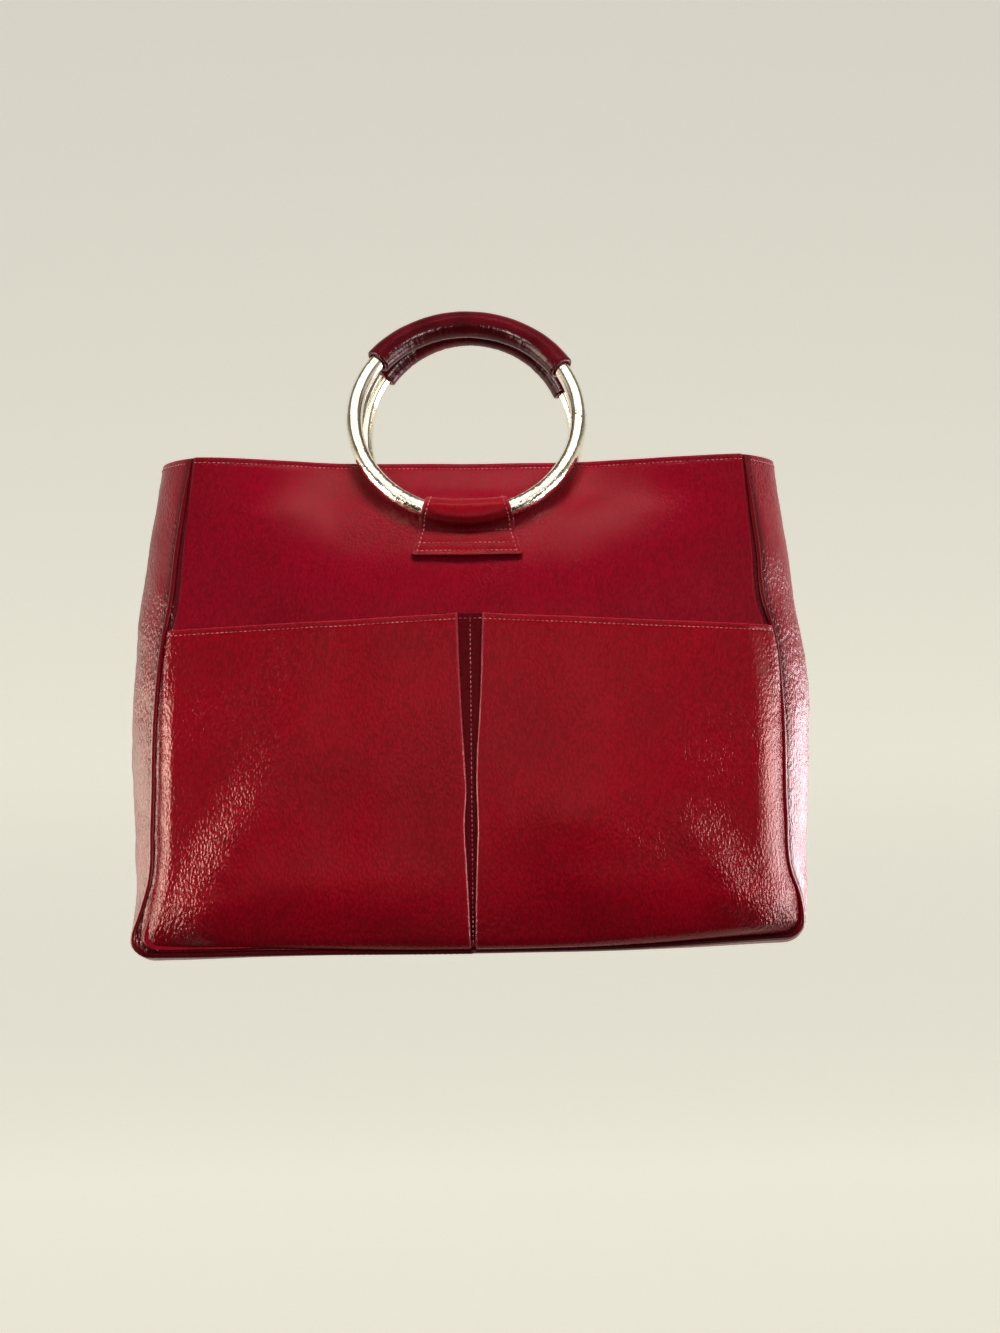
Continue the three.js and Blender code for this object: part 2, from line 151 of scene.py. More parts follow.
def column(table, name, down):
    """A column of a table at shares of the way down, on a smooth curve through its rows."""
    rows = np.array(table[1:], float)
    x, y = rows[:, 0], rows[:, table[0].index(name)]
    slope = np.gradient(y, x)
    down = np.clip(np.asarray(down, float), x[0], x[-1])
    row = np.clip(np.searchsorted(x, down, side="right") - 1, 0, len(x) - 2)
    width = x[row + 1] - x[row]
    t = (down - x[row]) / width
    start = (1 + 2 * t) * (1 - t) ** 2 * y[row] + t * (1 - t) ** 2 * width * slope[row]
    end = t * t * (3 - 2 * t) * y[row + 1] + t * t * (t - 1) * width * slope[row + 1]
    return start + end


def smoothstep(value, low, high):
    t = np.clip((value - low) / (high - low), 0, 1)
    return t * t * (3 - 2 * t)


def lerp(a, b, share):
    return a + (b - a) * share


def bump(x, centre, spread):
    """A soft round hump of height 1."""
    return np.exp(-(((x - centre) / spread) ** 2))


half_height_width = BASE_WIDTH * float(column(OUTLINE, "left", 0.5))
print("seam line is", round(half_height_width, 1), "mm wide at half height")

# %% [markdown]
# ## The surfaces that the pieces lie on
# Every piece follows one of two soft surfaces, the front's and the back's, and they meet the
# long strip along one seam line. So these are written once, as functions of a share across
# (-1 is the left seam and 1 the right) and a share down (0 is the mouth and 1 the base).


# %% The front surface, the back surface and the seam line
def depth_at(name, down):
    return BACK_REACH - column(DEPTH, name, down) * BASE_DEPTH


def bow(across):
    """How far the middle's depth has taken over from the seam's."""
    return smoothstep((1 - np.abs(across)) / 0.67, 0, 1)


def front_y(across, down):
    edge = lerp(depth_at("left", down), depth_at("right", down), (across + 1) / 2)
    return lerp(edge, depth_at("centre", down), bow(across))


def back_y(across, down):
    return lerp(depth_at("back_side", down), depth_at("back_centre", down), bow(across))


def edge_roll(from_edge, radius):
    """How far a face turns back at a distance from its rounded edge."""
    into = np.clip(1 - from_edge / radius, 0, 1)
    return radius * (1 - np.sqrt(1 - into * into))


def soft_roll(from_edge, width, depth, power):
    """How far a puffed side turns back over a width. A higher power starts it more gently."""
    return depth * np.clip(1 - from_edge / width, 0, 1) ** power


def sag(across, down):
    """How far the base hangs below its corners."""
    return BASE_SAG * (1 - across * across) * smoothstep(down, 0.55, 1)


def seam_side(down, side):
    """x of the seam line on one side, and its direction out of the bag in x and in z."""
    into = np.clip((down - (1 - CORNER_SHARE)) / CORNER_SHARE, 0, 1)
    cut = CORNER_RADIUS * (1 - np.sqrt(1 - into * into))
    x = side * (column(OUTLINE, "left" if side < 0 else "right", down) * HALF_BASE - cut)
    return x, side * np.sqrt(1 - into * into), -into


def spaced(length, step, fine, band=6.0, both=True):
    """Distances from 0 to length: a step apart, and closer in a band beside one or both ends."""
    end = length - band if both else length
    middle = np.linspace(band, end, max(2, round((end - band) / step) + 1))
    head = np.linspace(0, band, round(band / fine) + 1)[:-1]
    tail = np.linspace(end, length, round((length - end) / fine) + 1)[1:] if both else []
    return np.concatenate([head, middle, tail])


def rows_down(start, step, fine=0.6):
    """Shares down for the rows of a panel or pocket, with the round corners at the base."""
    straight = 1 - CORNER_SHARE
    run = (straight - start) * BODY_HEIGHT
    upper = start + spaced(run, step, fine, both=False) / BODY_HEIGHT
    corner = straight + CORNER_SHARE * np.sin(np.radians(np.arange(7.5, 90.1, 7.5)))
    return np.concatenate([upper, corner])


# %% [markdown]
# ## Leather as a thin wall
# Leather has a thickness, and its edges are what tells a bag from a balloon. A grid of points
# on the face could get a Solidify modifier, but then every edge is a sharp box. Here the wall's
# parts are made one by one: the face, the flesh side behind it, and a rounded rim that joins
# them, as an edge that was folded, pressed or painted has.


# %% Wall from a grid of points
RIM_TURNS = np.radians([36, 72, 108, 144])
RIM_ROUND = 0.8


def grid_normals(grid, towards):
    """Unit normals of a grid. towards is a direction that most of them have to point along."""
    along = np.gradient(grid, axis=0)
    across = np.gradient(grid, axis=1)
    normal = np.cross(across, along)
    normal /= np.maximum(np.linalg.norm(normal, axis=2, keepdims=True), 1e-9)
    if (normal @ np.array(towards, float)).sum() < 0:
        normal = -normal
    return normal


def leather_wall(name, grid, thickness, normal, tints, lift=0.0, rim_wear_and_highlight=0.06, rim_shade=0.35):
    """A closed wall of leather. lift is the share of its thickness in front of the grid."""
    face = grid + normal * thickness * lift
    flesh = face - normal * thickness
    count_r, count_c = grid.shape[:2]
    index = np.arange(count_r * count_c).reshape(count_r, count_c)
    border = np.concatenate([index[0, :], index[1:, -1], index[-1, -2::-1], index[-2:0:-1, 0]])
    r, c = np.divmod(border, count_c)
    inside = face[np.clip(r, 1, count_r - 2), np.clip(c, 1, count_c - 2)]
    n = normal[r, c]
    out = face[r, c] - inside
    out -= n * (out * n).sum(axis=1, keepdims=True)
    out /= np.maximum(np.linalg.norm(out, axis=1, keepdims=True), 1e-9)
    half = thickness / 2
    middle = (face[r, c] + flesh[r, c]) / 2
    rims = [
        middle + n * half * math.cos(a) + out * half * RIM_ROUND * math.sin(a) for a in RIM_TURNS
    ]
    points = np.concatenate([face.reshape(-1, 3), flesh.reshape(-1, 3)] + rims)
    size = count_r * count_c
    quads = np.stack([index[:-1, :-1], index[1:, :-1], index[1:, 1:], index[:-1, 1:]], -1)
    quads = quads.reshape(-1, 4)
    around = np.arange(len(border))
    loops = [2 * size + k * len(border) + around for k in range(len(RIM_TURNS))]
    loops = [border] + loops + [border + size]
    faces = [quads, quads[:, ::-1] + size]
    for here, there in zip(loops[:-1], loops[1:]):
        faces.append(np.stack([here, np.roll(here, -1), np.roll(there, -1), there], -1))
    made = mesh_piece(name, points, np.concatenate(faces))
    for key, value in tints.items():
        on_face = np.broadcast_to(value, grid.shape[:2]).reshape(-1)
        rim_value = np.full(len(border), rim_wear_and_highlight) if key == "wear_and_highlight" else on_face[border]
        behind = np.zeros(size) if key == "wear_and_highlight" else on_face
        if key == "shade":
            rim_value = np.maximum(rim_value, rim_shade)
        paint(made, key, np.concatenate([on_face, behind] + [rim_value] * len(RIM_TURNS)))
    return made


def paint(piece, key, values):
    """Stores one value for each point of a piece, for its material to read."""
    layer = piece.data.attributes.new(key, "FLOAT", "POINT")
    layer.data.foreach_set("value", np.asarray(values).astype(np.float32))


def mesh_piece(name, points, faces):
    """A smooth mesh object in metres, from points in millimetres, with its faces turned out."""
    points = np.asarray(points, float)
    faces = np.asarray(faces)
    a, b, c, d = (points[faces[:, k]] for k in range(4))
    volume = (np.cross(a, b) * c).sum() + (np.cross(a, c) * d).sum()
    if volume < 0:
        faces = faces[:, ::-1]
    mesh = bpy.data.meshes.new(name)
    mesh.from_pydata((points * MM).tolist(), [], faces.tolist())
    mesh.polygons.foreach_set("use_smooth", np.ones(len(mesh.polygons), bool))
    mesh.update()
    piece = bpy.data.objects.new(name, mesh)
    bpy.context.scene.collection.objects.link(piece)
    return piece


def wavy(points, size, seed):
    """Soft noise between about -1 and 1 at each point of a grid, with folds of a size in mm."""
    flat = points.reshape(-1, points.shape[-1]) / size + seed * 13.7
    values = [noise.fractal(Vector(p), 0.9, 2.0, 2, noise_basis="PERLIN_ORIGINAL") for p in flat]
    return np.array(values).reshape(points.shape[:-1])


def finish_piece(piece, material, slot, *nodes):
    """Gives a piece its material and its body, and hides the solid that it stands for."""
    piece.data.materials.clear()
    piece.data.materials.append(material)
    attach(piece, "root")
    if nodes:
        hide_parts(*nodes)
    print(piece.name, len(piece.data.polygons), "faces")


# %% [markdown]
# ## Materials: one helper
# Node materials are wired in code. One small function adds any node, with its settings and
# with a value or a link for each of its inputs, and gives back its output, so that a material
# reads from top to bottom. Three kinds of node come back all the time. Math has its numbers in
# places 0, 1 and 2. Map Range has a value in place 0, the range it comes from in 1 and 2, and
# the range it goes to in 3 and 4. Mix has its share in place 0 and its two colours in 6 and 7.

# %% Node helper and colours
TIMES = {"operation": "MULTIPLY"}
PLUS = {"operation": "ADD"}
TIMES_PLUS = {"operation": "MULTIPLY_ADD"}
SMOOTH = {"interpolation_type": "SMOOTHSTEP"}
COLOURS = {"data_type": "RGBA", "out": 2}


def add_node(tree, kind, inputs=None, out=0, **settings):
    """Adds a node and gives one of its outputs, or the node where it has none.

    inputs maps a socket's name or place to a value or to another node's output.
    """
    made = tree.nodes.new(kind)
    for key, value in settings.items():
        setattr(made, key, value)
    for key, value in (inputs or {}).items():
        if isinstance(value, bpy.types.NodeSocket):
            tree.links.new(value, made.inputs[key])
        else:
            made.inputs[key].default_value = value
    return made.outputs[out] if len(made.outputs) else made


def linear(hex_colour):
    """An sRGB hex colour as a linear colour with alpha."""
    parts = [int(hex_colour[k:k + 2], 16) / 255 for k in (1, 3, 5)]
    return [p / 12.92 if p <= 0.04045 else ((p + 0.055) / 1.055) ** 2.4 for p in parts] + [1.0]


def new_material(name):
    """An empty node material with its node tree."""
    material = bpy.data.materials.new(name)
    material.use_nodes = True
    material.node_tree.nodes.clear()
    return material, material.node_tree


print("node settings:", TIMES_PLUS, SMOOTH, COLOURS)

# %% [markdown]
# ## Aniline-dyed calf leather, glazed
# The red leather is calf skin, dyed through and then glazed, which is polishing under a glass
# roller. The dye makes it deep and a little uneven, the glaze gives a tight gloss, and the
# skin's own grain breaks that gloss into short wormy lights. The grain has two scales: a
# pebble a little over 1 mm across, and creases half that size, and both are drawn out up and
# down, the way the skin was stretched. The gloss lies over dyed skin, so its lights are rosy.
# Worn edges are paler. The pieces hold three painted values: one for wear, which is 1 on an
# edge and also holds a painted highlight on the pocket's fold edges and rim; crease, which says
# where the skin is worked and wrinkled; and shade, which is painted shade in the seams, in the
# pleat, below the tab's loop and at the foot of the pocket, and which also darkens cut edges.

# %% Red leather
STRETCH, DRIFT_SIZE, DRIFT_PUSH, CREASE_SIZE, CLOUD_MM = 0.55, 2.2, 0.0011, 0.5, 42
FLAT_GRAIN, CREASED_GRAIN = 0.3, 2.2
DARK_EDGE_AND_PAINTED_SHADE, ROSY = "#2c0006", "#ffc2b6"


def calf_leather(name, deep, body, worn_and_highlight, pebble_mm, relief_mm, roughness, seed):
    """Glazed calf leather with its grain in colour, gloss and relief."""
    material, tree = new_material(name)
    place = add_node(tree, "ShaderNodeTexCoord", out="Object")
    wear_and_highlight, crease, shade = (
        add_node(tree, "ShaderNodeAttribute", out="Fac", attribute_name=key)
        for key in ("wear_and_highlight", "crease", "shade")
    )
    shifted = add_node(tree, "ShaderNodeMapping", {
        "Vector": place, "Location": (seed * 0.37, 0, 0), "Scale": (1, 1, STRETCH),
    })
    drift = add_node(tree, "ShaderNodeTexNoise", {
        "Vector": shifted, "Scale": 1 / (pebble_mm * DRIFT_SIZE * MM), "Detail": 2.0,
    }, out="Color")
    bent = add_node(tree, "ShaderNodeMix", {
        0: DRIFT_PUSH * pebble_mm, 4: shifted, 5: drift,
    }, out=1, data_type="VECTOR", clamp_factor=False)
    pebbles = add_node(tree, "ShaderNodeTexVoronoi", {
        "Vector": bent, "Scale": 1 / (pebble_mm * MM), "Smoothness": 0.6,
    }, out="Distance", feature="SMOOTH_F1")
    fine = add_node(tree, "ShaderNodeTexNoise", {
        "Vector": bent, "Scale": 1 / (CREASE_SIZE * pebble_mm * MM), "Detail": 3.0, "Roughness": 0.6,
    }, out="Fac")
    cloud = add_node(tree, "ShaderNodeTexNoise", {
        "Vector": place, "Scale": 1 / (CLOUD_MM * MM), "Detail": 4.0, "Roughness": 0.55,
    }, out="Fac")
    ridge = add_node(tree, "ShaderNodeMapRange", {0: pebbles, 1: 0.15, 2: 0.75, 3: 1, 4: 0}, **SMOOTH)

    mottle = add_node(tree, "ShaderNodeMath", {0: ridge, 1: 0.3}, **TIMES)
    mottle = add_node(tree, "ShaderNodeMath", {0: fine, 1: 0.4, 2: mottle}, **TIMES_PLUS)
    tone = add_node(tree, "ShaderNodeMath", {0: cloud, 1: 0.6, 2: mottle}, **TIMES_PLUS)
    tone = add_node(tree, "ShaderNodeMapRange", {0: tone, 1: 0.25, 2: 1.1}, **SMOOTH)
    paler_wear_and_highlight = add_node(tree, "ShaderNodeMapRange", {0: fine, 1: 0.25, 2: 0.7, 3: 0.35, 4: 1}, **SMOOTH)
    paler_wear_and_highlight = add_node(tree, "ShaderNodeMath", {0: wear_and_highlight, 1: paler_wear_and_highlight}, **TIMES)
    colour = add_node(tree, "ShaderNodeMix", {0: tone, 6: linear(deep), 7: linear(body)}, **COLOURS)
    colour = add_node(tree, "ShaderNodeMix", {0: paler_wear_and_highlight, 6: colour, 7: linear(worn_and_highlight)}, **COLOURS)
    # Painted shade: the shade value turns the colour towards a near-black red, for shade in seams and
    # hollows and for darker cut edges.
    colour = add_node(tree, "ShaderNodeMix", {0: shade, 6: colour, 7: linear(DARK_EDGE_AND_PAINTED_SHADE)}, **COLOURS)

    gloss = add_node(tree, "ShaderNodeMapRange", {
        0: cloud, 1: 0.25, 2: 0.75, 3: roughness + 0.06, 4: roughness - 0.05,
    }, **SMOOTH)
    gloss = add_node(tree, "ShaderNodeMath", {0: ridge, 1: -0.06, 2: gloss}, **TIMES_PLUS)
    worked = add_node(tree, "ShaderNodeMath", {0: crease, 1: CREASED_GRAIN, 2: FLAT_GRAIN}, **TIMES_PLUS)
    relief = add_node(tree, "ShaderNodeMath", {0: fine, 1: 0.5}, **TIMES)
    relief = add_node(tree, "ShaderNodeMath", {0: ridge, 1: 0.75, 2: relief}, **TIMES_PLUS)
    height = add_node(tree, "ShaderNodeMath", {0: relief, 1: worked}, **TIMES)
    normal = add_node(tree, "ShaderNodeBump", {"Height": height, "Distance": relief_mm * MM})
    surface = add_node(tree, "ShaderNodeBsdfPrincipled", {
        "Base Color": colour, "Roughness": gloss, "Normal": normal, "IOR": 1.48,
        "Specular IOR Level": 0.36, "Specular Tint": linear(ROSY),
        "Coat Weight": 0.1, "Coat Roughness": 0.2, "Coat IOR": 1.4,
    })
    add_node(tree, "ShaderNodeOutputMaterial", {"Surface": surface})
    return material


panel_leather, pocket_leather, gusset_leather, tab_leather, welt_leather = (
    calf_leather("glazed calf leather, " + kind, *look)
    for kind, *look in (
        ("fine grain", "#700316", "#980a26", "#c44a60", 1.1, 0.16, 0.30, 1),
        ("pebbled", "#7a0313", "#a80a22", "#cf5a6a", 1.2, 0.26, 0.27, 2),
        ("soft side", "#7c0519", "#a0102c", "#c44a60", 1.4, 0.26, 0.36, 3),
        ("strap", "#760312", "#a40c22", "#d06a74", 1.1, 0.10, 0.30, 4),
        ("welt", "#5c020c", "#760618", "#c9606a", 1.2, 0.05, 0.34, 5),
    )
)
print("red leathers:", [m.name for m in bpy.data.materials if m.name.startswith("glazed")])

# %% [markdown]
# ## Front and back panels
# Each panel is one flat piece of leather with its top edge folded over and stitched. Flat
# leather is never flat once it carries weight: it gets shallow dents, and short drag
# wrinkles fan out from where the tab pulls. The grid is finer beside the edges, so that the
# rolled edge and the groove under the stitches are real shapes.

# %% Panel grid
PANEL_STEP, PANEL_ROLL = 1.9, 3.0
HEM_STITCH, STITCH_GROOVE, HEM_EDGE = 2.5, 0.28, 0.3
DENT, SMALL_DENT, DRAG_WRINKLE = 0.55, 0.22, 0.16


def panel_inset(down):
    """How far a panel's edge lies inside the seam line."""
    return PANEL_INSET * column(OUTLINE, "inset", down)


def panel_grid(side):
    """The plain grid of the front (-1) or back (1) panel, and its shares across and down."""
    down = rows_down(0, PANEL_STEP)[:, None]
    across = spaced(BASE_WIDTH, PANEL_STEP, 0.6)[None, :] / HALF_BASE - 1
    inset = panel_inset(down)
    left, left_out, out_z = seam_side(down, -1)
    right, right_out, _ = seam_side(down, 1)
    x = lerp(left - left_out * inset, right - right_out * inset, (across + 1) / 2)
    y = front_y(across, down) if side < 0 else back_y(across, down)
    y = y - side * edge_roll((1 - np.abs(across)) * HALF_BASE, PANEL_ROLL)
    z = TOP_Z - down * BODY_HEIGHT - sag(across, down) - out_z * inset
    grid = np.stack(np.broadcast_arrays(x, y, z), -1)
    return grid, across + 0 * down, down + 0 * across


def panel(side):
    """A panel's grid with its dents and wrinkles, its normals and its painted values."""
    grid, across, down = panel_grid(side)
    normal = grid_normals(grid, (0, side, 0))
    from_top = down * BODY_HEIGHT
    from_side = (1 - np.abs(across)) * HALF_BASE
    x, z = grid[..., 0], grid[..., 2]
    relief = DENT * wavy(grid, 60, 3 + side) + SMALL_DENT * wavy(grid, 21, 5 + side)
    relief -= STITCH_GROOVE * bump(from_top, HEM_STITCH, 0.8)
    relief += HEM_EDGE * bump(from_top, 0.8, 1.2)
    near_tab = bump(x, 34, 22) * bump(z, -97, 16) + bump(x, -36, 20) * bump(z, -102, 15)
    folds = np.sin((x * side * 0.6 + z * 0.8 + 2.5 * wavy(grid, 15, 9)) / 1.9)
    relief += DRAG_WRINKLE * near_tab * folds
    relief += 0.5 * bump(z, -92, 3) * bump(x, 0, 30)
    fade = np.clip(from_side / 6, 0, 1) * np.clip((1 - down) * BODY_HEIGHT / 8, 0, 1)
    grid = grid + normal * (relief * fade)[..., None]
    crease = np.clip(0.06 + 0.5 * near_tab + 0.25 * wavy(grid, 45, 12), 0, 1)
    wear_and_highlight = 0.12 * bump(from_side, 0, 0.7) + 0.08 * bump(from_top, 0, 0.7)
    tints = {"wear_and_highlight": np.clip(wear_and_highlight, 0, 1), "crease": crease, "shade": 0 * crease}
    return grid, grid_normals(grid, (0, side, 0)), tints


front_panel_grid, front_panel_normals, tints = panel(-1)
front_panel = leather_wall(
    "front_panel_leather", front_panel_grid, LEATHER, front_panel_normals, tints)
finish_piece(front_panel, panel_leather, "red_leather", "front_panel")
back_panel_grid, back_panel_normals, tints = panel(1)
back_panel = leather_wall("back_panel_leather", back_panel_grid, LEATHER, back_panel_normals, tints)
finish_piece(back_panel, panel_leather, "red_leather", "back_panel")

# %% [markdown]
# ## The gusset
# One strip of leather makes the left side, the base and the right side. It bulges between
# its two seams, and it is the softest wall of the bag, so it carries most of the wrinkles.
# It is lofted along the seam line, and its wrinkles run across the strip, at right angles
# to the seam, as they do where a strip is bent round a corner. Both its edges are turned in
# behind the panels, as a seam needs, so that no light falls through beside the welt.

# %% Gusset
SEAT, GUSSET_STEP, GUSSET_COLUMNS, GUSSET_GIRTH = 2.25, 1.6, 58, 80
TURNED_IN = np.array([6.0, 3.6, 1.4])


def seam_line(step):
    """Stations down the left seam, along the base and up the right seam, as a dictionary."""
    down = rows_down(0, step, step)
    parts = []
    for side in (-1, 1):
        x, out_x, out_z = seam_side(down, side)
        order = slice(None) if side < 0 else slice(None, None, -1)
        parts.append(np.stack([x, down, np.full_like(down, side), out_x, out_z], -1)[order])
    share = np.linspace(0, 1, round(BASE_WIDTH / step))[1:-1]
    start_x, end_x = parts[0][-1, 0], parts[1][0, 0]
    flat = np.zeros_like(share)
    base = np.stack([lerp(start_x, end_x, share), flat + 1, 2 * share - 1, flat, flat - 1], -1)
    x, down, across, out_x, out_z = np.concatenate([parts[0], base, parts[1]]).T
    z = TOP_Z - down * BODY_HEIGHT - sag(across, down)
    return {"x": x, "z": z, "down": down, "across": across, "out_x": out_x, "out_z": out_z}


def gusset_grid():
    """The strip's plain grid, the seam line it follows and its shares from front to back."""
    line = seam_line(GUSSET_STEP)
    turned_in = np.concatenate([TURNED_IN, np.zeros(GUSSET_COLUMNS), TURNED_IN[::-1]])[None, :]
    share = np.linspace(0, 1, GUSSET_COLUMNS)
    share = np.concatenate([0 * TURNED_IN, share, 0 * TURNED_IN + 1])[None, :]
    down, across = line["down"][:, None], line["across"][:, None]
    front = front_y(across, down) + SEAT
    back = back_y(across, down) - SEAT
    bulge = GUSSET_BULGE * column(OUTLINE, "bulge", down)
    rounded = np.sin(np.pi * np.clip(share, 1e-6, 1 - 1e-6)) ** 0.85
    on_base = -line["out_z"][:, None]
    flat = np.interp(share, [0, 0.07, 0.2, 0.8, 0.93, 1], [0, 0.6, 1, 1, 0.6, 0])
    lowest = TOP_Z - BODY_HEIGHT - BASE_SAG - BASE_DROP
    x = line["x"][:, None] + line["out_x"][:, None] * (bulge * rounded - turned_in)
    z = lerp(line["z"][:, None], lowest, flat * on_base) - line["out_z"][:, None] * turned_in
    y = lerp(front, back, share)
    grid = np.stack(np.broadcast_arrays(x, y, z), -1)
    return grid, line, share


def strip_normals(grid, outward):
    """Unit normals of the strip, out of the bag."""
    normal = np.cross(np.gradient(grid, axis=1), np.gradient(grid, axis=0))
    normal /= np.linalg.norm(normal, axis=2, keepdims=True)
    return normal * np.sign((normal * outward).sum(-1).sum())


# %% Gusset wrinkles
grid, line, share = gusset_grid()
outward = np.stack([line["out_x"], 0 * line["x"], line["out_z"]], -1)[:, None, :]
normal = strip_normals(grid, outward)
down = line["down"][:, None] + 0 * share
on_sides = np.clip(np.abs(line["out_x"])[:, None] + 0 * share, 0, 1)
lower_half = smoothstep(down, 0.05, 0.45)
from_seam = np.minimum(share, 1 - share)

across_strip = np.stack([grid[..., 0], grid[..., 1] * 0.35, grid[..., 2]], -1)
relief = 0.9 * wavy(grid, 48, 21) + 0.42 * wavy(across_strip, 15, 23)
relief += 0.16 * wavy(across_strip, 6, 25)
relief *= (0.45 + 0.55 * lower_half) * on_sides + 0.15
fade = np.clip(from_seam * 60 / 5, 0, 1)
gusset_face = grid + normal * (relief * fade)[..., None]
gusset_normals = strip_normals(gusset_face, outward)

crease = np.clip(0.35 + 0.9 * wavy(gusset_face, 30, 27) + 0.3 * lower_half, 0, 1) * on_sides
top_edge = bump(down * BODY_HEIGHT, 0, 0.9)
wear_and_highlight = np.clip(0.2 * top_edge + 0.3 * bump(from_seam * 75, 0, 0.8), 0, 1)
# Painted shade: the strip is darkened along both seams, where it turns in behind the panels.
shade = 0.75 * bump(from_seam * GUSSET_GIRTH, 0, 2.6) + 0 * down
tints = {"wear_and_highlight": wear_and_highlight, "crease": crease, "shade": shade}
gusset = leather_wall("gusset_leather", gusset_face, LEATHER, gusset_normals, tints)
finish_piece(gusset, gusset_leather, "red_leather", "gusset")

# %% [markdown]
# ## The welts
# A welt is a narrow folded strip that is caught in a seam. It keeps the seam from fraying and
# shows as a thin cord between the panel and the gusset. A swept circle is all it needs, and
# the seam's own stitches pull it in a little at each step.


# %% Welts
WELT_STEP, WELT_SIDES, WELT_STITCH = 1.5, 14, 3.1


def welt(name, surface, side, proud):
    """The cord in one seam. proud is how far it comes forward on the left and on the right."""
    line = seam_line(WELT_STEP)
    room = panel_inset(line["down"])
    radius = np.minimum(WELT / 2 + 0.15, 0.4 * room)
    inset = np.minimum(SEAM_INSET - PIECE_GAP - WELT / 2 + 0.25, 0.5 * room)
    forward = np.where(line["across"] < 0, proud[0], proud[1])
    forward = forward * smoothstep(line["down"], 0.04, 0.2)
    behind = radius + 0.15 + 1.4 * (WELT / 2 - radius) - forward
    turns = np.linspace(0, 2 * np.pi, WELT_SIDES, endpoint=False)[None, :]
    run = np.arange(len(line["x"]))[:, None] * WELT_STEP
    pulled = radius[:, None] * (1 + 0.05 * np.sin(run * 2 * np.pi / WELT_STITCH))
    out = pulled * np.cos(turns) - inset[:, None]
    x = line["x"][:, None] + line["out_x"][:, None] * out
    z = line["z"][:, None] + line["out_z"][:, None] * out
    y = (surface(line["across"], line["down"]) - side * behind)[:, None] + pulled * np.sin(turns)
    piece = swept(name, np.stack(np.broadcast_arrays(x, y, z), -1))
    # Painted shade: the welt is darkened along the base.
    paint(piece, "shade", np.repeat(0.8 * smoothstep(line["down"], 0.97, 1.0), WELT_SIDES))
    return piece


def swept(name, rings, closed=False):
    """A tube through rings of points, closed on itself or with a flat cap at each end."""
    steps, sides = rings.shape[:2]
    index = np.arange(steps * sides).reshape(steps, sides)
    nearby = np.roll(index, -1, axis=0) if closed else index[1:]
    here = index if closed else index[:-1]
    quads = np.stack([here, np.roll(here, -1, axis=1), np.roll(nearby, -1, axis=1), nearby], -1)
    quads = quads.reshape(-1, 4)
    points = rings.reshape(-1, 3)
    if closed:
        return mesh_piece(name, points, quads)
    caps = []
    for row in (index[0][::-1], index[-1]):
        caps += [(row[0], row[k], row[k + 1], row[k + 2]) for k in range(1, sides - 2, 2)]
    return mesh_piece(name, points, np.concatenate([quads, np.array(caps)]))


for name, surface, side, proud, node in (
    ("front_welt_leather", front_y, -1, (1.5, -0.4), "front_welt"),
    ("back_welt_leather", back_y, 1, (0.3, 0.3), "back_welt"),
):
    finish_piece(welt(name, surface, side, proud), welt_leather, "red_leather", node)

# %% [markdown]
# ## The pocket
# The pocket is one piece of leather, wider than the bag. Its spare width goes into an inverted
# pleat at the middle: the leather folds back under itself on both sides and lies across the
# panel between the folds. Its line is drawn once, level with the base, as a left half, four
# folds and a right half, and then followed down the bag while the slit between the folds
# narrows. The long soft dents are added to that: two drag folds run to the lower corners.

# %% Pocket sizes
POCKET_DROP, POCKET_RISE, POCKET_STEP = 88.7, 7.5, 1.7
POCKET_TOP, POCKET_HEIGHT = POCKET_DROP / BODY_HEIGHT, BODY_HEIGHT - POCKET_DROP
POCKET_STANDOFF, LEFT_SLACK, RIGHT_SLACK, FOOT_DRAWN_IN = 3.0, 2.2, 4.8, 2.0
POCKET_ROLL, LEFT_ROLL_WIDTH, RIGHT_ROLL_WIDTH = 4.6, 9.5, 12
HEM_INSET = SEAM_INSET + POCKET_LEATHER / 2
LEFT_INSET, RIGHT_INSET = HEM_INSET - 0.4, HEM_INSET - 1.5
PLEAT_DEPTH, FOLD_PITCH = 16.0, POCKET_LEATHER + PIECE_GAP
POCKET_STITCH = 2.3
SLIT = [
    ("down", "left", "right"),
    (0.00, 5.9, 5.7),
    (0.16, 5.2, 4.9),
    (0.30, 4.2, 3.8),
    (0.44, 2.9, 2.2),
    (0.52, 2.2, 2.0),
    (0.62, 3.2, 2.4),
    (0.74, 2.3, 1.7),
    (0.88, 1.3, 1.0),
    (1.00, 0.7, 0.7),
]


# %% Pocket grid
def pocket_stand(across, into):
    """How far the pocket's face stands in front of the panel. into is the share down it."""
    centre = 2 * FOLD_PITCH + POCKET_LEATHER + 2 * PIECE_GAP
    from_pleat = np.clip((np.abs(across) - 0.12) / 0.88, 0, 1)
    foot = 0.20 + 0.11 * bump(across, 0.2, 0.24) + 0.03 * np.cos(across * 11)
    t = 1 - np.clip((1 - into) / foot, 0, 1)
    drawn_in = np.where(t < 0.3, t * t / 0.6, t - 0.15) / 0.85
    side_width = np.where(across < 0, 0.2, 0.13)
    side_slack = np.where(across < 0, LEFT_SLACK, RIGHT_SLACK)
    slack = side_slack * smoothstep((1 - from_pleat) / side_width, 0, 1) * (1 - 0.25 * into)
    outward = smoothstep(from_pleat, 0, 0.9)
    face = lerp(centre, POCKET_STANDOFF, outward) + slack * smoothstep(from_pleat, 0, 0.35)
    at_foot = lerp(centre, 0.7 * POCKET_STANDOFF, outward) - FOOT_DRAWN_IN
    return lerp(face, at_foot, drawn_in)


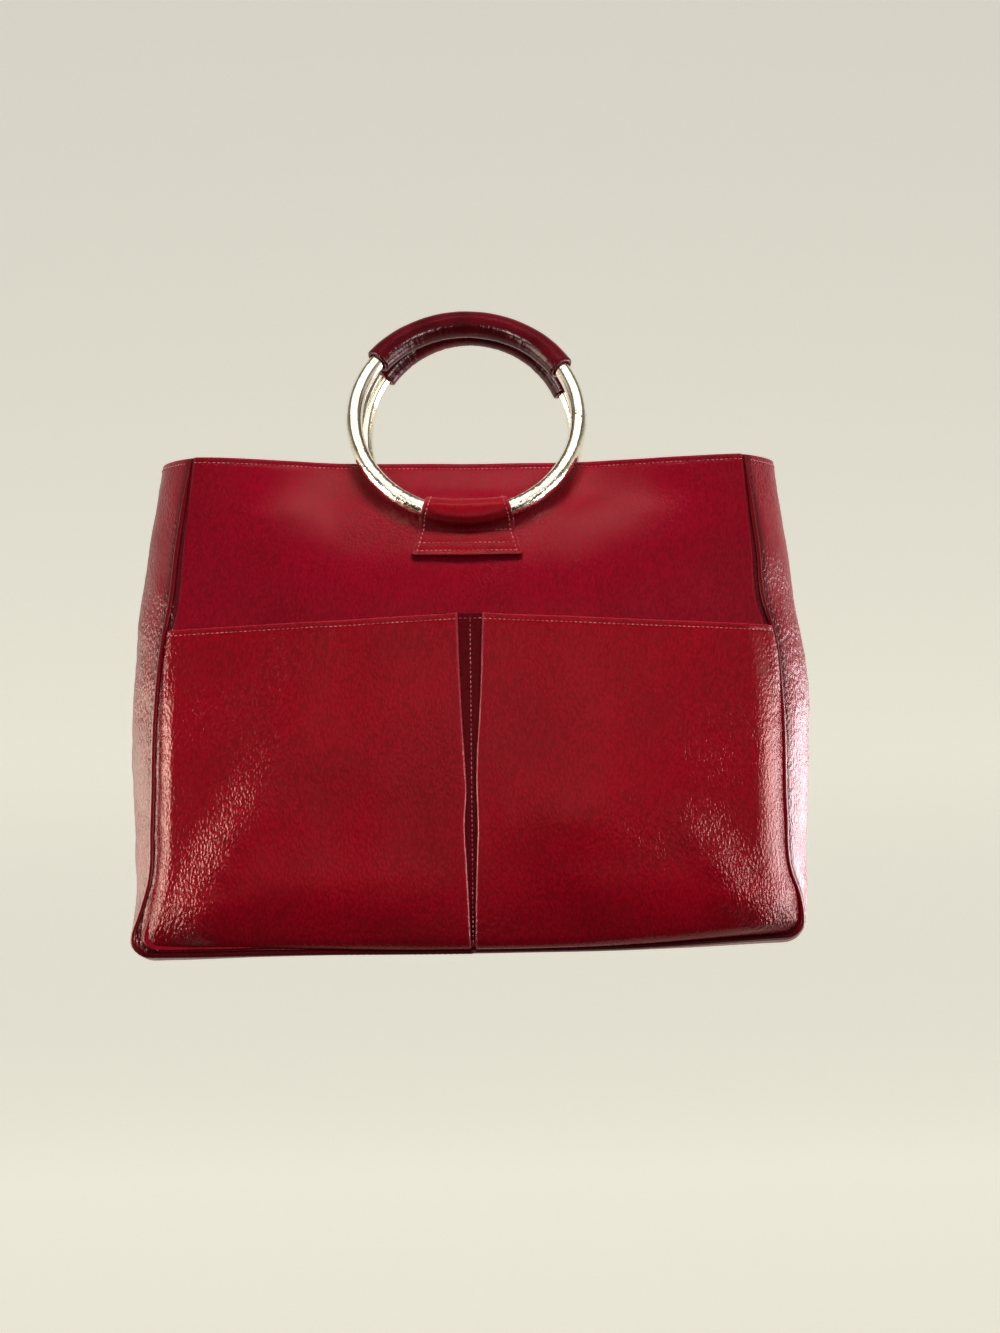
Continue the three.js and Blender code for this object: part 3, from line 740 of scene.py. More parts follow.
def pocket_line(open_left, open_right, columns):
    """x and place behind the face, in rows, of the pleat from the left fold to the right one."""
    half, radius = POCKET_LEATHER / 2, FOLD_PITCH / 2
    turns = np.radians(np.arange(0, 181, 30))
    hidden = np.linspace(0, 1, columns)[1:-1]
    parts = []

    def fold(x, layer, start, way):
        behind = half + (layer + 0.5) * FOLD_PITCH
        angle = math.radians(start) + way * turns
        back = behind - radius * np.sin(angle) + 0 * x
        parts.append(np.stack([x + radius * np.cos(angle), back], -1))

    def run(x_from, x_to, layer):
        behind = half + layer * FOLD_PITCH
        parts.append(np.stack([lerp(x_from, x_to, hidden), behind + 0 * x_from + 0 * hidden], -1))

    left_edge = -(open_left + radius + half)[:, None]
    right_edge = (open_right + radius + half)[:, None]
    deep = np.full_like(left_edge, PLEAT_DEPTH)
    fold(left_edge, 0, 90, -1)
    run(left_edge, -deep, 1)
    fold(-deep, 1, 90, 1)
    run(-deep, deep, 2)
    fold(deep, 1, -90, 1)
    run(deep, right_edge, 1)
    fold(right_edge, 0, -90, -1)
    return np.concatenate(parts, axis=1)


def ridge(x, z, points, width):
    """A soft fold along a line of points, highest on the line: 1 there and 0 far from it."""
    best = np.full(x.shape, 1e9)
    for (x0, z0), (x1, z1) in zip(points[:-1], points[1:]):
        along = np.array([x1 - x0, z1 - z0])
        t = np.clip(((x - x0) * along[0] + (z - z0) * along[1]) / (along @ along), 0, 1)
        best = np.minimum(best, np.hypot(x - x0 - t * along[0], z - z0 - t * along[1]))
    return np.exp(-((best / width) ** 2))


# The lines in x and z, in millimetres, that the two drag folds and the two hollows follow.
LEFT_DRAG = [(-80, -165), (-84, -205), (-97, -226), (-111, -256), (-132, -300)]
RIGHT_DRAG = [(92, -254), (108, -266), (122, -281), (140, -306)]
LEFT_HOLLOW, RIGHT_HOLLOW = [(-60, -165), (-62, -300)], [(72, -160), (52, -300)]
LEFT_FOLD_HEIGHT, RIGHT_FOLD_HEIGHT, HOLLOW_DEPTH = 2.5, 2.0, 1.2
LEFT_FOLD_WIDTH, RIGHT_FOLD_WIDTH = 11, 10


def pocket():
    """The grid through the middle of the leather, its shares down and two column counts."""
    half = POCKET_LEATHER / 2
    down = rows_down(POCKET_TOP, POCKET_STEP)
    into = (down - POCKET_TOP) / (1 - POCKET_TOP)
    pleat = pocket_line(column(SLIT, "left", into), column(SLIT, "right", into), 9)
    share = spaced(HALF_BASE, POCKET_STEP, 0.6, 9.0, both=False)
    share = share[share < HALF_BASE - 10] / (HALF_BASE - 10)
    rows = len(down)
    halves = []
    puffed = smoothstep(into, 0.04, 0.36)[:, None]
    for side, edge_column, inset, width, power in (
        (-1, pleat[:, 0], LEFT_INSET, LEFT_ROLL_WIDTH, 1.4),
        (1, pleat[:, -1], RIGHT_INSET, RIGHT_ROLL_WIDTH, 2.4),
    ):
        edge, out_x, out_z = seam_side(down, side)
        seam_x = edge - out_x * inset
        x = lerp(seam_x[:, None], edge_column[:, 0][:, None], share[None, :])
        u = x / np.abs(seam_x)[:, None]
        y = front_y(u, down[:, None]) - pocket_stand(u, into[:, None]) + half
        from_edge = (1 - np.abs(u)) * HALF_BASE
        tight, soft = edge_roll(from_edge, POCKET_ROLL), soft_roll(from_edge, width, POCKET_ROLL, power)
        y = y + lerp(tight, soft, puffed)
        z = TOP_Z - down[:, None] * BODY_HEIGHT - sag(u, down[:, None])
        z = z - out_z[:, None] * HEM_INSET + POCKET_RISE * (1 - into[:, None]) * (1 - np.abs(u))
        halves.append(np.stack([x, y, z], -1))
    hem = np.interp(down, [1 - CORNER_SHARE, 1], [0, 1]) * HEM_INSET
    centre_z = TOP_Z - down * BODY_HEIGHT - sag(0, down) + POCKET_RISE * (1 - into) + hem
    middle_y = front_y(0.0, down) - pocket_stand(np.zeros(rows), into)
    middle = np.stack([
        pleat[..., 0], middle_y[:, None] + pleat[..., 1], centre_z[:, None] + 0 * pleat[..., 0],
    ], -1)
    grid = np.concatenate([halves[0], middle, halves[1][:, ::-1]], axis=1)
    from_base = (1 - down)[:, None] * BODY_HEIGHT
    grid[..., 1] += edge_roll(from_base, CORNER_RADIUS) * 0.25
    return grid, down, into, len(share), pleat.shape[1]


# %% Pocket folds
grid, down, into, half_columns, pleat_columns = pocket()
column_number = np.arange(grid.shape[1])
from_side = np.minimum(column_number, column_number[::-1])[None, :]
from_top, from_base = into[:, None] * POCKET_HEIGHT, (1 - down)[:, None] * BODY_HEIGHT
on_face = np.ones(grid.shape[1])
on_face[half_columns:half_columns + pleat_columns] = 0
normal = grid_normals(grid, (0, -1, 0))
x, z = grid[..., 0], grid[..., 2]

left_fold = ridge(x, z, LEFT_DRAG, LEFT_FOLD_WIDTH)
right_fold = ridge(x, z, RIGHT_DRAG, RIGHT_FOLD_WIDTH)
left_flank = ridge(x, z, [(px - 7, pz) for px, pz in LEFT_DRAG], 11)
right_flank = ridge(x, z, [(px + 8, pz) for px, pz in RIGHT_DRAG], 12)
hollows = ridge(x, z, LEFT_HOLLOW, 16) + 0.7 * ridge(x, z, RIGHT_HOLLOW, 20)
grows = 0.15 + 0.85 * smoothstep(into, 0.25, 0.72)[:, None]
grows = grows * (1 + 0.45 * wavy(grid, 24, 43))
swells = smoothstep(x, 92, 124) * (1 + 0.4 * wavy(grid, 20, 45))

relief = LEFT_FOLD_HEIGHT * left_fold * grows + RIGHT_FOLD_HEIGHT * right_fold * swells
relief -= HOLLOW_DEPTH * hollows
relief += 2.4 * bump(x, 44, 30) * bump(z, -252, 19) + 1.4 * bump(x, -60, 40) * bump(z, -284, 13)
relief += 0.45 * wavy(grid, 55, 31) + 0.15 * wavy(grid, 17, 33)
fold_lines = np.sin((0.75 * x - 0.65 * z + 3 * wavy(grid, 18, 35)) / 2.3)
relief += 0.14 * fold_lines * right_flank
edge_waves = wavy(np.stack([x * 0.2, grid[..., 1] * 0.2, z], -1), 7, 37)
relief += 0.35 * edge_waves * np.clip(1 - from_side / 18, 0, 1)
relief -= 0.25 * bump(from_top, POCKET_STITCH, 0.8)
fade = np.clip(np.abs(x) / 9 - 0.6, 0, 1) * smoothstep(from_base, 0, 12)
fade = fade * np.clip(from_side / 5, 0.15, 1) * on_face
grid = grid + normal * (relief * fade)[..., None]
pocket_normals = grid_normals(grid, (0, -1, 0))
pocket_face = grid + pocket_normals * POCKET_LEATHER / 2
print("pocket folds stand out by up to", round(float((relief * fade).max()), 1), "mm")

# %% Pocket leather
first_fold, last_fold = half_columns, half_columns + pleat_columns
crease = 0.06 + 0.75 * left_flank * grows + 0.6 * right_flank * swells + 0.2 * wavy(grid, 34, 39)
crease += 0.6 * np.clip(1 - from_side / 16, 0, 1)
# Painted highlight and wear: the slit's fold edges are paler, partly as worn leather and partly as a
# painted highlight.
fold_edge_wear_and_highlight = bump(column_number, first_fold + 1.5, 0.9) + bump(column_number, last_fold - 2.5, 0.9)
wear_and_highlight = 0.45 * fold_edge_wear_and_highlight[None, :] + 0.05 * bump(from_top, 0, 0.7)
wear_and_highlight = wear_and_highlight + 0.2 * np.clip(1 - from_side / 9, 0, 1) * (0.4 + 0.6 * wavy(grid, 6, 41)) * on_face
# Painted shade: the underlay between the pleat's folds is darkened.
pleat_painted_shade = smoothstep(column_number, first_fold + 3, first_fold + 6)
pleat_painted_shade = pleat_painted_shade * smoothstep(-column_number, 6 - last_fold, 9 - last_fold)
# Painted shade: the pocket darkens towards its base, over a taller band just right of the middle.
foot_painted_shade = 1 - smoothstep(from_base, 4, 26 + 22 * bump(x, 36, 26))
shade = 0.75 * pleat_painted_shade[None, :] + 0.42 * foot_painted_shade
tints = {"wear_and_highlight": wear_and_highlight, "crease": crease, "shade": shade}
tints = {key: np.clip(value, 0, 1) for key, value in tints.items()}
# The pocket's rim is paler all round, as wear and as a painted highlight.
front_pocket = leather_wall(
    "front_pocket_leather", grid, POCKET_LEATHER, pocket_normals, tints,
    lift=0.5, rim_wear_and_highlight=0.3, rim_shade=0.0)
finish_piece(front_pocket, pocket_leather, "red_leather", "front_pocket")

# %% [markdown]
# ## Rings
# The handles are bent from round tube, welded, polished and plated. A swept circle is the
# true shape. A ring that leans shows the room in two ways, so the front one is tilted by its
# real lean, with its top resting over the point that the bag hangs by.

# %% Ring frames
RING_RADIUS = RING_OUTER / 2 - RING_TUBE / 2
GRIP_RADIUS = GRIP / 2
GRIP_Y = GRIP_RADIUS + GRIP_SPACING / 2


def ring_frame(x, y, lean):
    """A ring's centre, its direction down and its axis."""
    downward = np.array([0, -math.sin(lean), -math.cos(lean)])
    centre = np.array([x, y, GRIP_RADIUS]) + downward * RING_RADIUS
    axis = np.array([0, math.cos(lean), -math.sin(lean)])
    return {"centre": centre, "down": downward, "axis": axis}


FRONT_RING = ring_frame(FRONT_SHIFT, -GRIP_Y, FRONT_LEAN)
BACK_RING = ring_frame(BACK_SHIFT, GRIP_Y, 0.0)


def on_tube(ring, angle, radius, around):
    """Points of a tube along a ring: angle from the ring's top, around from straight out."""
    angle, around = np.broadcast_arrays(angle, around)
    radial = np.sin(angle)[..., None] * np.array([1, 0, 0]) - np.cos(angle)[..., None] * ring["down"]
    centre_line = ring["centre"] + radial * (RING_RADIUS + radius * np.cos(around))[..., None]
    return centre_line + ring["axis"] * (radius * np.sin(around))[..., None]


# %% [markdown]
# ## Plated metal
# The plating is a warm silver over polished brass tube. It is a mirror, but an old one: slow
# waves from the polishing bend what it mirrors, it has tiny dark pits where the plating
# failed, and low down, where it knocks against the bag, it is dented. A metal needs no more
# than its colour, a low roughness and that relief.

# %% Metal material
WAVE_MM, DENT_MM, PIT_MM, PATCH_MM = 9, 3.4, 2.6, 14
SILVER, PALE_SILVER, PIT_DIRT = "#f6ead4", "#fff8e8", "#4a4238"


def plated_tube():
    """Polished plating with slow waves, knocks low down and dark pits."""
    material, tree = new_material("nickel-plated brass tube, polished, pitted")
    place = add_node(tree, "ShaderNodeTexCoord", out="Object")
    height_above = add_node(tree, "ShaderNodeSeparateXYZ", {0: place}, out="Z")
    slow, dents, patchy = (
        add_node(tree, "ShaderNodeTexNoise", {
            "Vector": place, "Scale": 1 / (size * MM), "Detail": detail,
        }, out="Fac")
        for size, detail in ((WAVE_MM, 2.0), (DENT_MM, 2.0), (PATCH_MM, 1.0))
    )
    dots = add_node(tree, "ShaderNodeTexVoronoi", {
        "Vector": place, "Scale": 1 / (PIT_MM * MM), "Randomness": 1.0,
    }, out="Distance", feature="F1")
    low_down = add_node(tree, "ShaderNodeMapRange", {
        0: height_above, 1: -120 * MM, 2: -70 * MM, 3: 0.2, 4: 0,
    }, **SMOOTH)
    size = add_node(tree, "ShaderNodeMapRange", {
        0: patchy, 1: 0.45, 2: 0.75, 3: 0.02, 4: 0.24,
    }, **SMOOTH)
    size = add_node(tree, "ShaderNodeMath", {0: size, 1: low_down}, **PLUS)
    pit = add_node(tree, "ShaderNodeMath", {0: dots, 1: size}, operation="LESS_THAN")

    tone = add_node(tree, "ShaderNodeMapRange", {0: slow, 1: 0.3, 2: 0.7}, **SMOOTH)
    colour = add_node(tree, "ShaderNodeMix", {
        0: tone, 6: linear(SILVER), 7: linear(PALE_SILVER),
    }, **COLOURS)
    dark = add_node(tree, "ShaderNodeMath", {0: pit, 1: 0.8}, **TIMES)
    colour = add_node(tree, "ShaderNodeMix", {0: dark, 6: colour, 7: linear(PIT_DIRT)}, **COLOURS)

    knocked = add_node(tree, "ShaderNodeMapRange", {
        0: height_above, 1: -95 * MM, 2: -45 * MM, 3: 0.9, 4: 0.06,
    }, **SMOOTH)
    height = add_node(tree, "ShaderNodeMath", {0: slow, 1: 0.5}, **TIMES)
    height = add_node(tree, "ShaderNodeMath", {0: pit, 1: -0.25, 2: height}, **TIMES_PLUS)
    height = add_node(tree, "ShaderNodeMath", {0: dents, 1: knocked, 2: height}, **TIMES_PLUS)
    normal = add_node(tree, "ShaderNodeBump", {"Height": height, "Distance": 0.5 * MM})
    rough = add_node(tree, "ShaderNodeMapRange", {0: slow, 1: 0.3, 2: 0.7, 3: 0.10, 4: 0.20}, **SMOOTH)
    rough = add_node(tree, "ShaderNodeMath", {0: pit, 1: 0.3, 2: rough}, **TIMES_PLUS)
    surface = add_node(tree, "ShaderNodeBsdfPrincipled", {
        "Base Color": colour, "Metallic": 1.0, "Roughness": rough, "Normal": normal,
    })
    add_node(tree, "ShaderNodeOutputMaterial", {"Surface": surface})
    return material


RING_STEPS, TUBE_SIDES = 240, 36
metal = plated_tube()
angle = np.linspace(0, 2 * np.pi, RING_STEPS, endpoint=False)[:, None]
around = np.linspace(0, 2 * np.pi, TUBE_SIDES, endpoint=False)[None, :]
for name, ring, node in (
    ("front_ring_tube", FRONT_RING, "front_ring"),
    ("back_ring_tube", BACK_RING, "back_ring"),
):
    tube = swept(name, on_tube(ring, angle, RING_TUBE / 2, around), closed=True)
    finish_piece(tube, metal, "plated_metal", node)

# %% [markdown]
# ## Grips
# A grip is a strip of burgundy leather, wrapped round the tube and sewn along the inside of
# the curve. Wrapped leather is too long on the inside of a bend, so it gathers there in short
# creases, and its gloss breaks up along them. The sleeve is a closed wall with an open bore,
# and its ends are rounded. Its pattern follows the sleeve, by a UV map in real metres.


# %% Burgundy leather
GATHER_MM, GATHER_STRETCH, GRIP_GRAIN_MM, GRIP_CLOUD_MM = 2.4, 0.22, 0.9, 18
DARK_WINE, WINE, WORN_WINE = "#46060f", "#5e0e1a", "#9c5058"


def burgundy_leather():
    """Smooth leather whose gathers follow the sleeve's own pattern."""
    material, tree = new_material("burgundy calf leather, hand-polished")
    place = add_node(tree, "ShaderNodeTexCoord", out="Object")
    along = add_node(tree, "ShaderNodeUVMap", uv_map="sleeve")
    wear_and_highlight, gathered = (
        add_node(tree, "ShaderNodeAttribute", out="Fac", attribute_name=key)
        for key in ("wear_and_highlight", "crease")
    )
    squeezed = add_node(tree, "ShaderNodeMapping", {"Vector": along, "Scale": (1, GATHER_STRETCH, 1)})
    creases = add_node(tree, "ShaderNodeTexNoise", {
        "Vector": squeezed, "Scale": 1 / (GATHER_MM * MM), "Detail": 3.0, "Roughness": 0.6,
    }, out="Fac")
    grain = add_node(tree, "ShaderNodeTexVoronoi", {
        "Vector": place, "Scale": 1 / (GRIP_GRAIN_MM * MM),
    }, out="Distance", feature="SMOOTH_F1")
    cloud = add_node(tree, "ShaderNodeTexNoise", {
        "Vector": place, "Scale": 1 / (GRIP_CLOUD_MM * MM), "Detail": 3.0,
    }, out="Fac")
    tone = add_node(tree, "ShaderNodeMapRange", {0: cloud, 1: 0.3, 2: 0.7}, **SMOOTH)
    colour = add_node(tree, "ShaderNodeMix", {0: tone, 6: linear(DARK_WINE), 7: linear(WINE)}, **COLOURS)
    colour = add_node(tree, "ShaderNodeMix", {0: wear_and_highlight, 6: colour, 7: linear(WORN_WINE)}, **COLOURS)
    gloss = add_node(tree, "ShaderNodeMapRange", {0: cloud, 1: 0.3, 2: 0.7, 3: 0.24, 4: 0.17}, **SMOOTH)
    height = add_node(tree, "ShaderNodeMath", {0: creases, 1: gathered}, **TIMES)
    pebbles = add_node(tree, "ShaderNodeMath", {0: grain, 1: -0.18}, **TIMES)
    height = add_node(tree, "ShaderNodeMath", {0: height, 1: 2.4, 2: pebbles}, **TIMES_PLUS)
    normal = add_node(tree, "ShaderNodeBump", {"Height": height, "Distance": 0.18 * MM})
    surface = add_node(tree, "ShaderNodeBsdfPrincipled", {
        "Base Color": colour, "Roughness": gloss, "Normal": normal, "IOR": 1.48,
        "Specular IOR Level": 0.12, "Coat Weight": 0.08, "Coat Roughness": 0.1, "Coat IOR": 1.4,
    })
    add_node(tree, "ShaderNodeOutputMaterial", {"Surface": surface})
    return material


# %% Grip sleeves
GRIP_STEPS, GRIP_SIDES, GRIP_SEAM = 190, 56, math.radians(-158)
GATHER_HEIGHT, GRIP_UNEVEN, GRIP_SEAM_HEIGHT = 0.14, 0.10, 0.15


def grip(name, ring, arc):
    """A sleeve over a ring between two angles from its top, with its sewn seam inside."""
    bore = RING_TUBE / 2 / math.cos(math.pi / 12) + 0.3
    angle = np.radians(np.linspace(*arc, GRIP_STEPS))
    turns = np.linspace(0, 2 * np.pi, GRIP_SIDES, endpoint=False)
    along = (angle - angle[0]) * RING_RADIUS
    from_end = np.minimum(along, along[-1] - along)
    ends = edge_roll(from_end, 1.0)[:, None]
    inner_side = smoothstep(-np.cos(turns), -0.2, 0.9)[None, :]
    grid_a, grid_t = np.meshgrid(angle, turns, indexing="ij")
    spot = np.stack([along[:, None] + 0 * grid_t, 5 * np.cos(grid_t), 5 * np.sin(grid_t)], -1)
    gathers = wavy(spot * np.array([1, 0.35, 0.35]), 3.0, 51) * inner_side
    from_seam = (((grid_t - GRIP_SEAM + np.pi) % (2 * np.pi)) - np.pi) * GRIP_RADIUS
    seam = bump(from_seam, 0, 0.55)
    radius = GRIP_RADIUS - ends * 0.8 + GATHER_HEIGHT * gathers
    radius = radius + GRIP_UNEVEN * wavy(spot, 9, 53) + GRIP_SEAM_HEIGHT * seam
    outside = on_tube(ring, grid_a, radius, grid_t)
    inside = on_tube(ring, grid_a[::-1], np.full_like(grid_a, bore) + ends * 0.4, grid_t)
    loops = np.concatenate([outside, inside], axis=0)
    piece = swept(name, loops, closed=True)
    crease = 0.12 + 0.88 * inner_side + 0 * grid_a
    paint(piece, "crease", np.concatenate([crease, 0 * grid_a]).reshape(-1))
    wear_and_highlight = np.clip(0.1 * seam + 0.1 * bump(from_end, 0, 0.6)[:, None], 0, 1)
    paint(piece, "wear_and_highlight", np.concatenate([wear_and_highlight, 0 * grid_a]).reshape(-1))
    twice = np.concatenate([grid_t, grid_t])
    out_and_back = np.concatenate([along, along[::-1]])[:, None] + 0 * twice
    uv_of_point = np.stack([out_and_back, GRIP_RADIUS * twice], -1).reshape(-1, 2) * MM
    uv = piece.data.uv_layers.new(name="sleeve")
    corners = np.zeros(len(piece.data.loops), np.int64)
    piece.data.loops.foreach_get("vertex_index", corners)
    uv.data.foreach_set("uv", uv_of_point[corners].astype(np.float32).reshape(-1))
    return piece


burgundy = burgundy_leather()
for name, ring, arc, node in (
    ("front_grip_leather", FRONT_RING, (-54, 60), "front_grip"),
    ("back_grip_leather", BACK_RING, (-55, 65), "back_grip"),
):
    finish_piece(grip(name, ring, arc), burgundy, "burgundy_leather", node)

# %% [markdown]
# ## Handle tabs
# Each ring is held by one short strap: it lies on the panel, goes up behind the ring, over it
# and down in front, and its two ends are sewn together and to the panel. The line through
# the middle of the strap is drawn as that path, and then widened, because the strap is
# narrow at the ring and wide at its foot.

# %% Handle tab grid
TAB_TOP, TAB_BOTTOM, TAB_LENGTH, TAB_CLEARANCE, TAB_DIP = 39.0, 56.0, 27.0, 0.55, 1.3
TAB_INNER = RING_TUBE / 2 / math.cos(math.pi / 12) + TAB_CLEARANCE
BRIDGE_BEHIND, BRIDGE_AHEAD = 8, 14
LOW_ROW, HIGH_ROW, BAR_ROW, TAB_SIDE = 1.9, 6.0, 13.0, 0.91


def tab_path(bottom, panel_at, towards):
    """Depth and height along the strap, from the foot behind to the foot in front."""
    radius = TAB_INNER + LEATHER / 2
    outer = TAB_INNER + LEATHER
    low = bottom[2] + outer - TAB_LENGTH
    pinch = bottom[2] - outer - LEATHER
    back = lambda z: panel_at(z) + towards * (PIECE_GAP + LEATHER / 2)
    front = lambda z: panel_at(z) + towards * (PIECE_GAP + 1.5 * LEATHER + 0.05)
    foot = low + spaced(pinch - low, 0.9, 0.45, 2.2, both=False)
    turns = np.radians(np.linspace(-92, 112, 42))
    arc_y = bottom[1] + towards * radius * np.sin(turns)
    arc = np.stack([arc_y, bottom[2] + radius * np.cos(turns)], -1)
    rise = np.stack([[back(z) for z in foot], foot], -1)
    fall = np.stack([[front(z) for z in foot], foot], -1)[::-1]

    def bridge(a, a_way, b, b_way, count):
        t = np.linspace(0, 1, count + 2)[1:-1, None]
        reach = np.linalg.norm(b - a) * 0.42
        p1, p2 = a + a_way * reach, b - b_way * reach
        return (1 - t) ** 3 * a + 3 * t * (1 - t) ** 2 * p1 + 3 * t * t * (1 - t) * p2 + t ** 3 * b

    up, fall_way = np.array([0.0, 1.0]), np.array([0.0, -1.0])
    last = arc[-1] - arc[-2]
    first = arc[1] - arc[0]
    behind = bridge(rise[-1], up, arc[0], first / np.linalg.norm(first), BRIDGE_BEHIND)
    ahead = bridge(arc[-1], last / np.linalg.norm(last), fall[0], fall_way, BRIDGE_AHEAD)
    path = np.concatenate([rise, behind, arc, ahead, fall])
    return path, len(foot) + BRIDGE_BEHIND, low, pinch


def tab_grid(ring, panel_at, towards):
    """The strap's path, widened: its grid, its shares across and where its arc starts."""
    bottom = ring["centre"] + ring["down"] * RING_RADIUS
    path, arc_start, low, pinch = tab_path(bottom, panel_at, towards)
    share = np.concatenate([
        np.linspace(-1, -0.9, 5), np.linspace(-0.9, 0.9, 37)[1:-1], np.linspace(0.9, 1, 5),
    ])[None, :]
    y, z = path[:, :1], path[:, 1:]
    from_top = np.clip((bottom[2] + TAB_INNER + LEATHER - z) / TAB_LENGTH, 0, 1)
    width = lerp(TAB_TOP, TAB_BOTTOM, from_top) / 2
    from_foot = np.clip(z - low, 0, 3)
    width = width - 2.2 * (1 - np.sqrt(1 - np.clip(1 - from_foot / 2.2, 0, 1) ** 2))
    x = share * width
    arc_lift = RING_RADIUS - np.sqrt(RING_RADIUS ** 2 - x * x)
    edge_lift = RING_RADIUS - math.sqrt(RING_RADIUS ** 2 - (TAB_TOP / 2) ** 2)
    top_lift = np.maximum(edge_lift - TAB_DIP * (1 - share ** 2), arc_lift)
    on_loop = smoothstep(z, pinch, bottom[2] - TAB_INNER)
    over = smoothstep(z, bottom[2] - 1.5, bottom[2] + 2.5)
    lift = lerp(arc_lift, top_lift, over) * on_loop
    x = ring["centre"][0] + x
    y, z = y - ring["down"][1] * lift, z - ring["down"][2] * lift
    return np.stack(np.broadcast_arrays(x, y, z), -1), share, arc_start, low


def handle_tab(name, ring, surface, towards):
    """The strap, with what its stitches need: its face, normals, shares and rows."""
    panel_at = lambda z: float(surface(0.0, (TOP_Z - z) / BODY_HEIGHT))
    grid, share, arc_start, low = tab_grid(ring, panel_at, towards)
    normal = grid_normals(grid, (0, towards * 0.2, 1))
    middle_row = grid.shape[0] // 2
    if normal[middle_row, grid.shape[1] // 2, 2] < 0:
        normal = -normal
    height = grid[..., 2] - low
    soft = 0.12 * wavy(grid, 8, 61)
    stitch_lines = bump(height, LOW_ROW, 0.7) + bump(height, HIGH_ROW, 0.7)
    from_middle = np.abs(share) * TAB_BOTTOM / 2
    stitch_lines = stitch_lines + bump(from_middle, TAB_BOTTOM / 2 - LOW_ROW, 0.6)
    in_front = np.arange(grid.shape[0])[:, None] > arc_start
    grid = grid + normal * ((soft - 0.13 * stitch_lines) * in_front)[..., None]
    normal = grid_normals(grid, (0, 0, 0))
    if normal[middle_row, grid.shape[1] // 2, 2] < 0:
        normal = -normal
    wear_and_highlight = 0.2 * bump((1 - np.abs(share)) * TAB_TOP / 2, 0, 0.5) + 0.25 * bump(height, 0, 0.5)
    # Painted shade: a dark band across the strap just below the loop, and its foot a little darker.
    shade = (0.5 * bump(height, 14.5, 3.2) + 0.12 * (height < 12)) * in_front
    crease = np.full(grid.shape[:2], 0.12)
    tints = {"wear_and_highlight": np.clip(wear_and_highlight * in_front, 0, 1), "crease": crease, "shade": shade}
    piece = leather_wall(name, grid, LEATHER, normal, tints, lift=0.5)
    return piece, {
        "face": grid + normal * LEATHER / 2, "normal": normal,
        "share": share[0], "height": height, "arc": arc_start,
    }


front_tab, front_tab_face = handle_tab("front_handle_tab_leather", FRONT_RING, front_y, -1)
finish_piece(front_tab, tab_leather, "red_leather", "front_handle_tab")
back_tab, back_tab_face = handle_tab("back_handle_tab_leather", BACK_RING, back_y, 1)
finish_piece(back_tab, tab_leather, "red_leather", "back_handle_tab")

# %% [markdown]
# ## Stitches
# A lockstitch seam is a row of short threads, each one a small sausage that sinks into the
# leather at both ends. There are hundreds, all alike, so Geometry Nodes place them: the rows
# are drawn as lines that carry the direction out of the leather, the lines are cut into
# equal steps, and one stitch is set on each step, turned along the line.


# %% Thread material
ROSE, PALE_ROSE, FADED_MM, TWIST_MM = "#a63a48", "#d98489", 7, 0.35


def waxed_thread():
    """Thread that is paler where it was rubbed, with a fine twist."""
    material, tree = new_material("waxed polyester thread, rose")
    place = add_node(tree, "ShaderNodeTexCoord", out="Object")
    uneven, twist = (
        add_node(tree, "ShaderNodeTexNoise", {
            "Vector": place, "Scale": 1 / (size * MM), "Detail": detail,
        }, out="Fac")
        for size, detail in ((FADED_MM, 2.0), (TWIST_MM, 1.0))
    )
    tone = add_node(tree, "ShaderNodeMapRange", {0: uneven, 1: 0.35, 2: 0.65}, **SMOOTH)
    colour = add_node(tree, "ShaderNodeMix", {0: tone, 6: linear(ROSE), 7: linear(PALE_ROSE)}, **COLOURS)
    normal = add_node(tree, "ShaderNodeBump", {"Height": twist, "Distance": 0.08 * MM})
    surface = add_node(tree, "ShaderNodeBsdfPrincipled", {
        "Base Color": colour, "Roughness": 0.5, "Normal": normal, "Sheen Weight": 0.2,
    })
    add_node(tree, "ShaderNodeOutputMaterial", {"Surface": surface})
    return material


# %% Stitch tree
PITCH_MM, LENGTH_MM, THREAD_PROUD = 2.3, 1.6, 0.12
STITCH_INPUTS = {"Pitch": 0.0023, "Length": 0.0017, "Width": 0.0006, "Wobble": 0.12}


